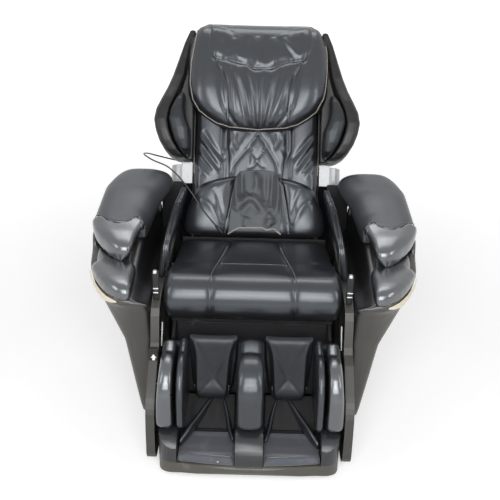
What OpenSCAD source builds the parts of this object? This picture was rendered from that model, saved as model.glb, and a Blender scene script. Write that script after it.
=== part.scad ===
// Full-body massage chair: a base with seat and arms, a reclining back with a roller carriage
// behind its cover, and a legrest that swings up and slides its foot unit out.
// Millimetres, +Z up, the sitter faces -Y. Left and right are as seen from the front.
// The origin is on the floor below the middle of the chair.

/* [Seat] */
// Width of the seat cushion at its front edge
seat_w = 524; // [480:4:528]
// Height of the seat cushion's front edge above the floor
seat_h = 498; // [490:2:510]
// Slope of the seat down to the rear, in degrees
seat_slope = 8; // [6:1:9]
// Radius of the roll at the seat's front edge
seat_roll = 68; // [60:2:72]

/* [Back] */
// Lean of the back from the vertical at rest, in degrees
back_lean = 27; // [24:1:30]
// Height of the recline pivot above the floor
pivot_z = 360; // [356:1:366]
// Place of the recline pivot behind the origin
pivot_y = 120; // [118:1:126]
// Length of the back from its pivot to the top of its cover
back_top = 812; // [790:2:830]
// Half width of the upholstered back
back_hw = 219; // [210:1:219]
// Depth of the rear shell behind the pivot line
shell_depth = 190; // [186:1:194]

/* [Head pillow] */
// Greatest half width of the pillow
pillow_hw = 244; // [220:2:250]
// Height of the pillow's lower edge along the back
pillow_low = 434; // [430:2:440]

/* [Massage carriage] */
// Height of the carriage along the back at rest
carriage_t = 180; // [150:5:240]
// Radius of a massage roller
roller_r = 30; // [24:1:31]
// Distance from the kneading shaft up or down to a roller's axle
roller_reach = 62; // [56:1:66]

/* [Arms] */
// Height of the arm hood's highest point
arm_h = 666; // [640:2:668]
// Half width of the chair across the arms
arm_x = 496; // [480:1:504]
// Height of the fold between the arm's upper and lower panels
arm_fold_z = 296; // [280:1:300]

/* [Legrest] */
// Half width of the calf unit
calf_hw = 252; // [250:1:256]
// Half width of the divider between the calf channels
divider_hw = 36; // [28:1:42]
// Height of the calf unit's lower edge
calf_low = 147; // [140:1:155]
// Height of the foot uprights' tops
foot_top = 130; // [122:1:132]

/* [Lead] */
// Diameter of the thin lead
lead_d = 5; // [4:0.5:6]

/* [Hidden] */
$fn = 48;

// Base
runner_x = 240;
runner_w = 30;
runner_z = [12, 52];
runner_in = runner_x - runner_w / 2;
fork_in = runner_in - 4;
fork_y = 350;
runner_y = [-440, 400];
bar_ys = [-390, -60, 200, 390];
bar_w = 30;
tray_z = 50;
frame_in = 228;
frame_out = 236;
cover_in = 268;
cover_out = 293;
cover_wall = 4;
panel_y = 405;
panel_t = 6;
inlet_at = [-60, 74];
switch_at = [-112, 74];
switch_w = 18;
switch_h = 25;
wheel_r = 30;
wheel_at = [434, 33];
axle_r = 5;
run_gap = 0.05;

// Seat
seat_front = -353;
seat_rear = 98;
pan_rear = 62;
roll_y = seat_front + seat_roll;
crest_z = seat_h - 3;
seam_rear_x = 85;
seam_spread = 0.086;

// Legrest
hinge_y = -362;
hinge_z = 300;
hinge_pin_r = 8;
calf_back_y = -376;
wall_in = 216;
pad_out = 205;
pad_in = 184;
rod_at = [234, -520];
rod_r = 7;
foot_hw = 256;
foot_cap_r = 66;
foot_axis = [-538, foot_top - foot_cap_r];

// Actuators
recline_x = 60;
recline_pin_drop = 100;
recline_half = 24;
legrest_x = -60;
legrest_pin_drop = 62;
legrest_half = 36;
pin_r = 6;

// Back
pin_back_r = 10;
ear_r = 17;
torsion_r = 16;
tube_x = [165, 190];
tube_y = [22, 47];
rail_x = [128, 144];
rail_y = [66, 84];
screw_y = 118;
screw_r = 8;
knead_y = 84;
knead_r = 9;
roller_y = 62;
roller_x = [56, 84];
roller_pin_r = 6;
arm_plate_x = [44, 54];
cover_low = 60;

// ---------- shared shapes ----------

// Points on an arc round c
function arc(c, r, from, to, steps) =
    [for (i = [0 : steps]) let (a = from + (to - from) * i / steps) c + r * [cos(a), sin(a)]];

// Unit superellipse point: power 2 is a circle, more is boxier
function soft(a, power) = [
    sign(cos(a)) * pow(abs(cos(a)), 2 / power),
    sign(sin(a)) * pow(abs(sin(a)), 2 / power)
];

// Skin through equal rings of points that run anticlockwise when seen from the far end
module loft(rings) {
    n = len(rings[0]);
    last = (len(rings) - 1) * n;
    sides = [for (i = [0 : len(rings) - 2]) for (j = [0 : n - 1])
        let (a = i * n + j, b = i * n + (j + 1) % n)
        each [[a, a + n, b], [b, a + n, b + n]]];
    first_cap = [for (j = [1 : n - 2]) [0, j, j + 1]];
    last_cap = [for (j = [1 : n - 2]) [last, last + j + 1, last + j]];
    polyhedron([for (ring = rings) each ring], concat(sides, first_cap, last_cap), convexity = 6);
}

// A shape and its mirror image across the chair's middle plane
module pair() {
    children();
    mirror([1, 0, 0])
        children();
}

// Outline drawn in the side view (Y, Z) and extruded from x0 to x1
module side_plate(x0, x1) {
    translate([x0, 0, 0])
        rotate([90, 0, 90])
            linear_extrude(x1 - x0)
                children();
}

// Round bar along X
module cross_rod(r, x0, x1, y, z) {
    translate([x0, y, z])
        rotate([0, 90, 0])
            cylinder(r = r, h = x1 - x0);
}

// Round bar along Y
module long_rod(r, y0, y1, x, z) {
    translate([x, y1, z])
        rotate([90, 0, 0])
            cylinder(r = r, h = y1 - y0);
}

// Box between two corners
module block(low, high) {
    translate(low)
        cube(high - low);
}

// The back's own frame: X across, Y rearward, Z up along the back from the pivot
module in_back() {
    translate([0, pivot_y, pivot_z])
        rotate([-back_lean, 0, 0])
            children();
}

// The arms' loft frame: ring points are (x, height), and the loft runs forward
module in_arm() {
    rotate([90, 0, 0])
        children();
}

// Push a profile point away from a centre
function push(p, c, by) = p + (p - c) / norm(p - c) * by;

// ---------- base ----------

module floor_runners() {
    color("dimgray") pair() difference() {
        block([runner_x - runner_w / 2, runner_y[0], runner_z[0]],
            [runner_x + runner_w / 2, runner_y[1], runner_z[1]]);
        block([runner_x - runner_w / 2 + 2, runner_y[0] - 1, runner_z[0] + 2],
            [runner_x + runner_w / 2 - 2, runner_y[1] + 1, runner_z[1] - 2]);
    }
}

module frame_crossbars() {
    color("dimgray") for (y = bar_ys) difference() {
        half = y > fork_y ? fork_in : runner_in;
        block([-half, y - bar_w / 2, tray_z - 2 - bar_w], [half, y + bar_w / 2, tray_z - 2]);
        block([-half - 1, y - bar_w / 2 + 2, tray_z - bar_w], [half + 1, y + bar_w / 2 - 2, tray_z - 4]);
    }
}

// Height of the seat cushion's underside
function seat_under(y) = 352 - (y + 300) * 52 / 392;

module side_frame_outline() {
    difference() {
        union() {
            polygon([
                [-330, runner_z[1]], [300, runner_z[1]], [230, 150], [165, 300], [138, pivot_z - 8],
                [102, pivot_z - 8], [92, seat_under(92) - 10], [-296, seat_under(-296) - 10],
                [-345, 318], [-340, 270]
            ]);
            translate([pivot_y, pivot_z]) circle(r = ear_r + 2);
            translate([hinge_y, hinge_z]) circle(r = 18);
        }
        translate([pivot_y, pivot_z]) circle(r = pin_back_r);
        translate([hinge_y, hinge_z]) circle(r = hinge_pin_r);
        for (hole = [[-240, 150, 55], [-90, 165, 60], [70, 165, 60]])
            translate([hole[0], hole[1]]) circle(r = hole[2]);
    }
}

module side_frames() {
    color("dimgray") pair() side_plate(frame_in, frame_out) side_frame_outline();
}

module base_tray() {
    color("gray") difference() {
        block([-runner_in, -400, tray_z - 2], [runner_in, 400, tray_z]);
        pair() block([fork_in, fork_y, tray_z - 3], [runner_in + 1, 401, tray_z + 1]);
        for (x = [-110 : 55 : 110])
            translate([x, -230, tray_z - 3]) cylinder(r = 18, h = 4);
    }
}

module seat_pan() {
    color("gray") difference() {
        side_plate(-240, 240)
            polygon([
                [-296, seat_under(-296)], [-296, seat_under(-296) - 10],
                [pan_rear, seat_under(pan_rear) - 10], [pan_rear, seat_under(pan_rear)]
            ]);
        for (x = [-120, 120]) for (y = [-180, -20])
            translate([x, y, 280]) cylinder(r = 40, h = 90);
    }
}

// Side profile of the seat cushion from its rear lower corner: [y, z, 1 where it is padded out]
function seat_top(y) = crest_z - (y - roll_y) * tan(seat_slope);
function seat_profile() = concat(
    [[pan_rear + 3, seat_under(pan_rear + 3), 0], [seat_rear - 10, 345, 0], [seat_rear - 2, 366, 0],
        [seat_rear, 405, 0], [90, seat_top(90) - 3, 0]],
    [for (y = [60, 10, -45, -100, -150]) [y, seat_top(y), 1]],
    [[-180, seat_top(-180) - 7, 0.5], [-205, seat_top(-205), 1], [-245, seat_top(-245) + 2, 1]],
    [for (p = arc([roll_y, crest_z - seat_roll], seat_roll, 85, 250, 9)) [p[0], p[1], 1]],
    [[-300, seat_under(-300), 0]]
);
function seat_seam_x(y) = seam_rear_x + (seat_rear - y) * seam_spread;
function seat_half(y) = seat_w / 2 - max(0, y - seat_front) * 0.042;

// Stations from the middle outward: [panel, place in the panel, crown, drawn in]
seat_stations = [
    [0, 0, 9, 0], [0, 0.5, 8, 0], [0, 0.85, 4, 0], [0, 1, -6, 0], [1, 0.14, 4, 0], [1, 0.42, 9, 0],
    [1, 0.7, 7, 0], [1, 0.87, 0, 3], [1, 0.96, 0, 13], [1, 1, 0, 30]
];

function seat_ring(s, side) = [
    for (p = seat_profile())
        let (
            seam = seat_seam_x(p[0]),
            half = seat_half(p[0]),
            x = s[0] == 0 ? s[1] * seam : seam + s[1] * (half - seam),
            q = push([p[0], p[1]], [-120, 400], s[2] * p[2] - s[3])
        ) [side * x, q[0], q[1]]
];

module seat_cushion() {
    last = len(seat_stations) - 1;
    rings = concat(
        [for (i = [last : -1 : 1]) seat_ring(seat_stations[i], -1)],
        [for (i = [0 : last]) seat_ring(seat_stations[i], 1)]
    );
    color("#1b1b1d") loft(rings);
}

// Height of the base covers' upper edge, on which the seat guards rest
function cover_top(y) = 438 + (y + 300) * 8 / 420;

// Side outline of a base cover, with a swept front edge over the foot unit
function cover_outline() = concat(
    arc([-500, 60], 48, 270, 180, 5),
    [[-546, 130]],
    arc([-440, 150], 104, 165, 130, 4),
    [[-440, 290], [-406, 305], [-392, 322], [-380, 367], [-371, 398], [-358, 418], [-328, 432]],
    [[-300, cover_top(-300)]],
    [[120, cover_top(120)]],
    arc([180, 386], 60, 90, 15, 6),
    [[290, 240], [372, 90]],
    arc([350, 42], 30, 30, -90, 5)
);

// Moulded cover: an outer skin with a rim all round, ribs and screw bosses inside
module base_cover() {
    difference() {
        side_plate(cover_in, cover_out) polygon(cover_outline());
        side_plate(cover_in - 1, cover_out - cover_wall)
            offset(delta = -cover_wall) polygon(cover_outline());
    }
    intersection() {
        union() {
            for (y = [-400, -180, 60])
                block([cover_out - 16, y - 1.5, 12], [cover_out - 2, y + 1.5, 460]);
            block([cover_out - 16, -540, 238.5], [cover_out - 2, 320, 241.5]);
        }
        side_plate(cover_in, cover_out) polygon(cover_outline());
    }
    for (boss = [[-290, 110], [-60, 280], [160, 180]])
        difference() {
            cross_rod(9, frame_out, cover_out - 2, boss[0], boss[1]);
            cross_rod(2.5, frame_out - 1, cover_out - 20, boss[0], boss[1]);
        }
}

module left_base_cover() {
    color("#26262a") mirror([1, 0, 0]) base_cover();
}

module right_base_cover() {
    color("#26262a") base_cover();
}

// Rear panel with a deck over the pump and the controller
module rear_panel() {
    bolts = [[-200, 36], [200, 36]];
    color("#26262a") difference() {
        union() {
            block([-fork_in, panel_y, 18], [fork_in, panel_y + panel_t, 150]);
            block([-fork_in, 70, 146], [fork_in, panel_y, 150]);
        }
        for (x = [-190 : 20 : 180]) block([x, 110, 145], [x + 8, 340, 151]);
        block([inlet_at[0] - 15, panel_y - 1, inlet_at[1] - 12],
            [inlet_at[0] + 15, panel_y + panel_t + 1, inlet_at[1] + 12]);
        block([switch_at[0] - 10, panel_y - 1, switch_at[1] - 14],
            [switch_at[0] + 10, panel_y + panel_t + 1, switch_at[1] + 14]);
        cross_rod(1.5 + run_gap, switch_at[0] - 12, switch_at[0] + 12, panel_y + 3, switch_at[1]);
        for (b = bolts) long_rod(2.5, panel_y - 1, panel_y + panel_t + 1, b[0], b[1]);
        for (z = [100 : 10 : 130])
            block([20, panel_y - 1, z], [180, panel_y + panel_t + 1, z + 4]);
    }
}

module rubber_feet() {
    color("#111111") pair() for (y = [-410, 340])
        translate([runner_x, y, 0]) {
            cylinder(r1 = 20, r2 = 23, h = 4);
            translate([0, 0, 4]) cylinder(r = 23, h = runner_z[0] - 4);
        }
}

// Inlet with its flange, recess and three blades
module power_inlet() {
    at = inlet_at;
    face = panel_y + panel_t;
    color("#111111") {
        difference() {
            union() {
                block([at[0] - 14.5, panel_y - 22, at[1] - 11.5], [at[0] + 14.5, face + 1, at[1] + 11.5]);
                block([at[0] - 22, face, at[1] - 15], [at[0] + 22, face + 3, at[1] + 15]);
            }
            block([at[0] - 12, face - 16, at[1] - 8.5], [at[0] + 12, face + 4, at[1] + 8.5]);
        }
        for (pin = [[-7, -1], [0, 3], [7, -1]])
            block([at[0] + pin[0] - 1, face - 17, at[1] + pin[1] - 2.5],
                [at[0] + pin[0] + 1, face - 3, at[1] + pin[1] + 2.5]);
    }
}

module rocker_switch() {
    y = panel_y + 3;
    z = switch_at[1];
    half = switch_h / 2;
    color("#8a1f1f") {
        side_plate(switch_at[0] - switch_w / 2, switch_at[0] + switch_w / 2)
            polygon([
                [y - 6, z - half + 4], [y + 5, z - half], [y + 2.5, z], [y + 5, z + half],
                [y - 6, z + half - 4]
            ]);
        cross_rod(1.5, switch_at[0] - 10.8, switch_at[0] + 10.8, y, z);
    }
}

// Two cheek plates on each runner's end, joined by the wheel's fixed axle
module wheel_forks() {
    outer = runner_x + runner_w / 2;
    color("dimgray") pair() {
        for (x = [fork_in, outer]) {
            side_plate(x, x + 4)
                polygon([[fork_y, 20], [434, 20], [434, 46], [390, 50], [fork_y, 50]]);
            cross_rod(14, x, x + 4, wheel_at[0], wheel_at[1]);
        }
        cross_rod(axle_r, fork_in, outer + 4, wheel_at[0], wheel_at[1]);
        for (x = [fork_in - 3, outer + 4]) cross_rod(8, x, x + 3, wheel_at[0], wheel_at[1]);
    }
}

// Panel behind the legrest, with a cut-out for the legrest actuator
module front_panel() {
    y = [-293, -289];
    color("#151516") difference() {
        union() {
            block([-runner_in, y[0], tray_z], [runner_in, y[1], seat_under(y[1]) - 12]);
            block([-runner_in, y[0], tray_z], [runner_in, y[1] + 16, tray_z + 3]);
        }
        hull() for (z = [legrest_z - 8, legrest_z + 8])
            long_rod(28, y[0] - 1, y[1] + 1, legrest_x, z);
    }
}

module wheel() {
    translate([runner_x, wheel_at[0], wheel_at[1]])
        rotate([0, 90, 0])
            rotate_extrude($fn = 64) polygon(concat(
                [[axle_r + run_gap, -12], [12, -12], [13, -7], [21, -7], [22, -11]],
                arc([wheel_r - 4, -7], 4, -90, 0, 4),
                arc([wheel_r - 4, 7], 4, 0, 90, 4),
                [[22, 11], [21, 7], [13, 7], [12, 12], [axle_r + run_gap, 12]]
            ));
}

module left_wheel() {
    color("#2b2b2b") mirror([1, 0, 0]) wheel();
}

module right_wheel() {
    color("#2b2b2b") wheel();
}

// Twin-chamber pump with cooling ribs and its hose ports
module air_pump() {
    color("#3c3c40") {
        block([-180, 60, tray_z], [-30, 170, tray_z + 8]);
        for (x = [-142, -68]) {
            translate([x, 115, tray_z + 8]) cylinder(r = 34, h = 66);
            for (z = [18 : 12 : 66]) translate([x, 115, tray_z + z]) cylinder(r = 36, h = 4);
            translate([x, 115, tray_z + 74]) cylinder(r = 8, h = 14);
        }
        block([-112, 95, tray_z + 8], [-98, 135, tray_z + 50]);
    }
}

module control_box() {
    color("#303034") difference() {
        block([40, 235, tray_z], [190, 355, tray_z + 62]);
        for (x = [60 : 14 : 170]) block([x, 250, tray_z + 58], [x + 6, 340, tray_z + 63]);
    }
}

// Tube with a gearbox and motor below it, on a foot that stands on the tray
module actuator(x, z, tube_r, bore_r, tube_y0, tube_y1, bore_y0, bore_y1, box_y) {
    difference() {
        union() {
            long_rod(tube_r, tube_y0, tube_y1, x, z);
            block([x - 24, box_y[0], z - 70], [x + 24, box_y[1], z]);
        }
        long_rod(bore_r, bore_y0, bore_y1, x, z);
    }
    translate([x, (box_y[0] + box_y[1]) / 2, tray_z + 8]) cylinder(r = 20, h = z - 70 - tray_z - 8);
    block([x - 30, box_y[0] - 5, tray_z], [x + 30, box_y[1] + 5, tray_z + 8]);
}

recline_z = pivot_z - recline_pin_drop;
recline_reach = recline_pin_drop * tan(recline_half);
recline_tube_front = -190;
recline_tube_rear = 48;

module recline_actuator() {
    color("#4a4a4e")
        actuator(recline_x, recline_z, 22, 10 + run_gap, recline_tube_front, recline_tube_rear,
            -150, recline_tube_rear + 1, [-190, -130]);
}

// Rod with an eye at its end, and the pin that works in the lever's slot
module push_rod(x, z, r, y_end, y_eye, eye_r, half_w, pin, pin_half) {
    long_rod(r, min(y_end, y_eye), max(y_end, y_eye), x, z);
    cross_rod(eye_r, x - half_w, x + half_w, y_eye, z);
    cross_rod(pin, x - pin_half, x + pin_half, y_eye, z);
}

module recline_rod() {
    color("silver")
        push_rod(recline_x, recline_z, 10, -40, pivot_y + recline_reach, 14, 11, pin_r, 20);
}

legrest_z = hinge_z - legrest_pin_drop;
legrest_reach = legrest_pin_drop * tan(legrest_half);

module legrest_actuator() {
    color("#4a4a4e")
        actuator(legrest_x, legrest_z, 20, 9 + run_gap, -275, -20, -276, -90, [-80, -20]);
}

module legrest_rod() {
    color("silver")
        push_rod(legrest_x, legrest_z, 9, -120, hinge_y + legrest_reach, 12, 10.5, 5, 19);
}

// Lever of two plates with a radial slot for the rod's pin, at an angle below the horizontal
module slotted_lever(x, y, z, angle, half_turn, drop, gap, slot_r, hub_r) {
    far = drop / cos(half_turn);
    for (side = [-1, 1])
        translate([x + side * (gap + 3), y, z])
            rotate([angle, 0, 0])
                rotate([90, 0, 90])
                    linear_extrude(6, center = true)
                        difference() {
                            union() {
                                polygon([
                                    [0, -hub_r + 2], [drop * 0.7, -slot_r - 7], [far, -slot_r - 6],
                                    [far, slot_r + 6], [drop * 0.7, slot_r + 7], [0, hub_r - 2]
                                ]);
                                translate([far, 0]) circle(r = slot_r + 6);
                                circle(r = hub_r);
                            }
                            translate([drop - 0.5, -slot_r]) square([far - drop + 1, 2 * slot_r]);
                            translate([drop - 0.5, 0]) circle(r = slot_r);
                            translate([far + 0.5, 0]) circle(r = slot_r);
                        }
}

// Padded panel beside the seat whose rail climbs to a dome beside the back.
// Stations: [y, lower edge, upper edge, middle x at the top, half thickness]
guard_low_x = 280;
guard_stations = [
    [-206, 442, 500, 271, 7], [-203, cover_top(-203), 530, 267, 11], [-196, cover_top(-196), 547, 264, 13],
    [-180, cover_top(-180), 558, 261, 14], [-155, cover_top(-155), 563, 261, 14],
    [-60, cover_top(-60), 567, 262, 14], [20, cover_top(20), 571, 261, 14],
    [70, cover_top(70), 580, 256, 14.5], [100, 448, 589, 250, 15.5], [125, 461, 597, 245, 16],
    [145, 482, 603, 242, 16], [162, 514, 602, 241, 15], [176, 540, 592, 241, 12], [182, 552, 578, 241, 5]
];
guard_sides = 14;

function guard_ring(s) = [
    for (i = [0 : guard_sides - 1])
        let (
            p = soft(i * 360 / guard_sides, 2.8),
            k = (p[1] + 1) / 2,
            z = s[1] + (s[2] - s[1]) * k,
            lean = (z - 448) / max(1, s[2] - 448),
            x = guard_low_x + (s[3] - guard_low_x) * max(0, lean) + s[4] * p[0]
        ) [x, z, -s[0]]
];

module seat_guards() {
    last = len(guard_stations) - 1;
    color("#1b1b1d") pair() in_arm() loft([for (i = [last : -1 : 0]) guard_ring(guard_stations[i])]);
}

module pivot_pins() {
    color("silver") pair() {
        cross_rod(pin_back_r, 205, frame_out, pivot_y, pivot_z);
        cross_rod(pin_back_r + 4, frame_out, frame_out + 4, pivot_y, pivot_z);
        cross_rod(hinge_pin_r, 195, frame_out, hinge_y, hinge_z);
    }
}

// Short pale strips on the inner front edge of the base covers
module guide_strips() {
    color("white") pair()
        side_plate(cover_in - 3, cover_in)
            polygon([[-351, 286], [-343, 282], [-312, 344], [-319, 350]]);
}

// ---------- arms ----------

// Arm plan and heights by place along the chair: [y, value]
arm_outer = [
    [-392, 366], [-384, 388], [-372, 405], [-358, 422], [-335, 441], [-311, 457], [-275, 476], [-240, 488],
    [-200, arm_x - 1], [-120, arm_x], [50, arm_x - 8], [120, arm_x - 28], [165, arm_x - 54],
    [195, arm_x - 88]
];
arm_inner = [[-392, 353], [-384, 350], [-372, 348], [-340, 347], [-50, 345], [50, 340], [195, 334]];
arm_deck = [
    [-400, 455], [-350, 465], [-290, 478], [-125, 532], [50, 584], [150, 606], [195, 612]
];
arm_foot = [
    [-392, 447], [-381, 436], [-365, 395], [-350, 342], [-340, 296], [-338, 60], [-328, 28], [90, 40],
    [130, 90], [195, 380]
];
// Height of the outer cheek that carries the arm pad over the hand slot
arm_cheek = [[-166, 0.2], [-160, 44], [-128, 44], [-125, 0.2]];
arm_ys = [
    -389, -384, -374, -360, -346, -338, -328, -290, -240, -200, -166, -160, -128, -125, -50, 50, 90, 120,
    150, 165, 195
];

function shell_ring(y) =
    let (
        out = lookup(y, arm_outer),
        in = lookup(y, arm_inner),
        deck = lookup(y, arm_deck),
        low = lookup(y, arm_foot),
        cheek = lookup(y, arm_cheek),
        fold = max(low + 8, arm_fold_z),
        waist = max(fold + 6, 440),
        fold_x = min(out - 4, 390 - (y < -280 ? (-280 - y) * 0.25 : 0)),
        low_x = min(fold_x - 4, 334 + (fold - arm_fold_z) * 0.5)
    )
    [
        [cover_out + 1, low, -y], [low_x, low, -y], [fold_x, fold, -y],
        [out - 6, deck - 26, -y], [out, deck - 12, -y], [out - 1, deck - 3 + cheek, -y],
        [out - 4, deck + cheek, -y], [out - 13, deck + cheek, -y], [out - 15, deck, -y],
        [in + 4, deck, -y], [in, deck - 4, -y], [min(in - 4, 323), waist, -y],
        [cover_out + 1, max(low + 4, waist - 12), -y]
    ];

module arm_shells() {
    last = len(arm_ys) - 1;
    color("#2a2827") pair() in_arm() loft([for (i = [last : -1 : 0]) shell_ring(arm_ys[i])]);
}

// Crowned pad on the arm's deck: a flat underside and a domed top with its ridge off centre.
// Stations: [y, top, outer x, inner x]
pad_steps = 12;
slot_lift = 46;
function dome_ring(s, lift, ridge, outer_power, inner_power) =
    let (
        out = s[2],
        in = s[3],
        deck = lookup(s[0], arm_deck) + lift,
        mid = out - (out - in) * ridge
    )
    concat(
        [[in + 3, deck, -s[0]], [out - 3, deck, -s[0]]],
        [for (i = [0 : pad_steps])
            let (a = 180 * i / pad_steps, p = soft(a, a < 90 ? outer_power : inner_power))
            [mid + (a < 90 ? out - mid : mid - in) * p[0], deck + 5 + (s[1] - deck - 5) * p[1], -s[0]]]
    );

module arm_dome(stations, lift, ridge, outer_power, inner_power) {
    last = len(stations) - 1;
    in_arm() loft([for (i = [last : -1 : 0])
        dome_ring(stations[i], lift, ridge, outer_power, inner_power)]);
}

module arm_hoods() {
    color("#222224") pair() arm_dome([
        [-123, 590, 488, 334], [-117, 602, 494, 327], [-50, 628, 495, 322], [20, 647, 491, 312],
        [50, arm_h - 14, 490, 305], [75, arm_h - 9, 483, 297], [110, arm_h - 4, 473, 285],
        [150, arm_h, 453, 277], [172, arm_h - 8, 430, 283], [188, arm_h - 24, 402, 296],
        [195, arm_h - 42, 382, 310]
    ], 0.6, 0.45, 3.8, 2.4);
}

module arm_pads() {
    color("#1b1b1d") pair() arm_dome([
        [-262, 548, 389, 377], [-260, 556, 397, 371], [-254, 565, 408, 364], [-237, 575, 430, 358],
        [-217, 583, 448, 356], [-199, 588, 464, 353], [-162, 596, 487, 347], [-134, 604, 496, 342],
        [-127, 597, 490, 348]
    ], slot_lift, 0.5, 3.4, 3.4);
}

// Lower pad: its nose shows in front of the arm pad, and its rear lies in the hand slot
module hand_pads() {
    color("#1b1b1d") pair() arm_dome([
        [-392, 468, 364, 355], [-390, 480, 374, 351], [-384, 490, 389, 348], [-372, 498, 406, 346],
        [-358, 503, 423, 345], [-335, 508, 442, 345], [-311, 511, 458, 345], [-275, 516, 476, 346],
        [-258, 518, 477, 350], [-250, 519, 466, 358], [-210, 524, 470, 364], [-180, 527, 472, 365],
        [-171, 525, 466, 370]
    ], 0.6, 0.5, 3.4, 3.4);
}

// Crescent under the hand pad's outer front edge: [y, height, stand-off]
trim_stations = [
    [-255, 1, 1.2], [-275, 6, 1.4], [-300, 12, 1.6], [-325, 16, 1.8], [-345, 18, 1.8], [-361, 16, 1.8],
    [-374, 11, 1.6], [-385, 3, 1.4]
];

function trim_ring(s) =
    let (x = lookup(s[0], arm_outer), z = lookup(s[0], arm_deck) - 8)
    [
        [x + s[2], z - s[1], -s[0]], [x + s[2] + 3, z - s[1] + 1, -s[0]],
        [x + s[2] + 3, z + 1, -s[0]], [x + s[2], z + 2, -s[0]]
    ];

module arm_trims() {
    color("#b8a888") pair() in_arm() loft([for (s = trim_stations) trim_ring(s)]);
}

// ---------- back ----------

module pivot_ear() {
    difference() {
        union() {
            cross_rod(ear_r, tube_x[1] - 1, 224, 0, 0);
            block([tube_x[0], -10, -12], [tube_x[1], tube_y[1], 24]);
        }
        cross_rod(pin_back_r + run_gap, 200, 226, 0, 0);
    }
}

// Side tubes with their pivot ears, the crossbars, and the torsion tube with the recline lever
module back_frame() {
    color("dimgray") {
        in_back() pair() {
            difference() {
                block([tube_x[0], tube_y[0], 0], [tube_x[1], tube_y[1], 770]);
                block([tube_x[0] + 2, tube_y[0] + 2, 26], [tube_x[1] - 2, tube_y[1] - 2, 771]);
            }
            pivot_ear();
        }
        back_crossbars();
        cross_rod(torsion_r, -tube_x[0] + 0.1, tube_x[0] - 0.1, pivot_y, pivot_z);
        slotted_lever(recline_x, pivot_y, pivot_z, -90 + recline_half, recline_half,
            recline_pin_drop, 12.5, pin_r + 1.6, torsion_r + 2);
    }
}

// Bearing plates for the rails and the lift screw, and the bar at the head end
top_bar_z = 650;
roller_notch = [40, 94];
module back_crossbars() {
    in_back() {
        for (z = [46, top_bar_z]) difference() {
            union() {
                block([-tube_x[0], tube_y[0], z], [tube_x[0], rail_y[1] + 8, z + 12]);
                block([-40, rail_y[1], z], [40, screw_y + 8, z + 12]);
                block([-tube_x[0], 80, z], [tube_x[0], 104, z + 12]);
            }
            translate([0, screw_y, z - 1]) cylinder(r = screw_r + run_gap, h = 14);
            if (z == top_bar_z) pair() block([roller_notch[0], 0, z - 1], [roller_notch[1], 97, z + 13]);
        }
        difference() {
            block([-tube_x[0], tube_y[0], 744], [tube_x[0], tube_y[1], 764]);
            block([-tube_x[0] - 1, tube_y[0] + 2, 746], [tube_x[0] + 1, tube_y[1] - 2, 762]);
        }
    }
}

// Rear shell: side, rear and plan outlines cross, and an inner copy hollows it towards the cover
shell_bow = 2457;
shell_turn = 8.2;
module shell_side(grow) {
    d = shell_depth + grow;
    polygon(concat(
        [[tube_y[0] - 2 - 60 * (grow < 0 ? 1 : 0), 42 - grow]],
        arc([d - 40, 82 - grow], 40, -90, 0, 6),
        arc([d - shell_bow, 380], shell_bow, 0, shell_turn, 6),
        arc([d - 96.1 - grow, back_top - 80 + grow], 70, 15, 90, 5),
        [[tube_y[0] - 2 - 60 * (grow < 0 ? 1 : 0), back_top - 10 + grow]]
    ));
}

module shell_rear(grow) {
    hw = back_hw + 2 + grow;
    polygon(concat(
        arc([-hw + 40, 82 - grow], 40, 180, 270, 6),
        arc([hw - 40, 82 - grow], 40, 270, 360, 6),
        [[hw, 580]],
        arc([hw - 70, back_top - 80 + grow], 70, 18, 90, 6),
        arc([-hw + 70, back_top - 80 + grow], 70, 90, 162, 6),
        [[-hw, 580]]
    ));
}

module shell_plan(grow) {
    hw = back_hw + 2 + grow;
    r = 80 + grow;
    polygon(concat(
        [[-hw, -80], [hw, -80]],
        arc([hw - r, shell_depth - 80], r, 0, 90, 8),
        arc([-hw + r, shell_depth - 80], r, 90, 180, 8)
    ));
}

module shell_form(grow) {
    intersection() {
        side_plate(-260, 260) shell_side(grow);
        linear_extrude(900) shell_plan(grow);
        translate([0, 260, 0]) rotate([90, 0, 0]) linear_extrude(400) shell_rear(grow);
    }
}

module back_shell() {
    color("#222225") in_back() {
        difference() {
            shell_form(0);
            shell_form(-4);
            pair() block([tube_x[0] - 1, 0, 38], [tube_x[1] + 1, tube_y[1] + 1, 50]);
            block([-36, 90, 38], [76, 148, 50]);
        }
        for (x = [-150, -50, 50, 150])
            block([x - 2, shell_depth - 12, 120], [x + 2, shell_depth - 3, 380]);
    }
}

module guide_rails() {
    color("silver") in_back() pair() difference() {
        block([rail_x[0], rail_y[0], 58], [rail_x[1], rail_y[1], top_bar_z]);
        block([rail_x[0] + 4, rail_y[0] - 1, 57], [rail_x[1] - 4, rail_y[0] + 8, top_bar_z + 1]);
    }
}

module lift_screw() {
    color("silver") in_back() translate([0, screw_y, 44])
        cylinder(r = screw_r, h = top_bar_z - 28);
}

module screw_motor() {
    color("#4a4a4e") in_back() difference() {
        union() {
            block([-34, 92, 8], [34, 146, 46]);
            translate([52, 120, 8]) cylinder(r = 22, h = 36);
        }
        translate([0, screw_y, 40]) cylinder(r = screw_r + 1, h = 10);
    }
}

module in_carriage() {
    in_back() translate([0, 0, carriage_t]) children();
}

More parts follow.
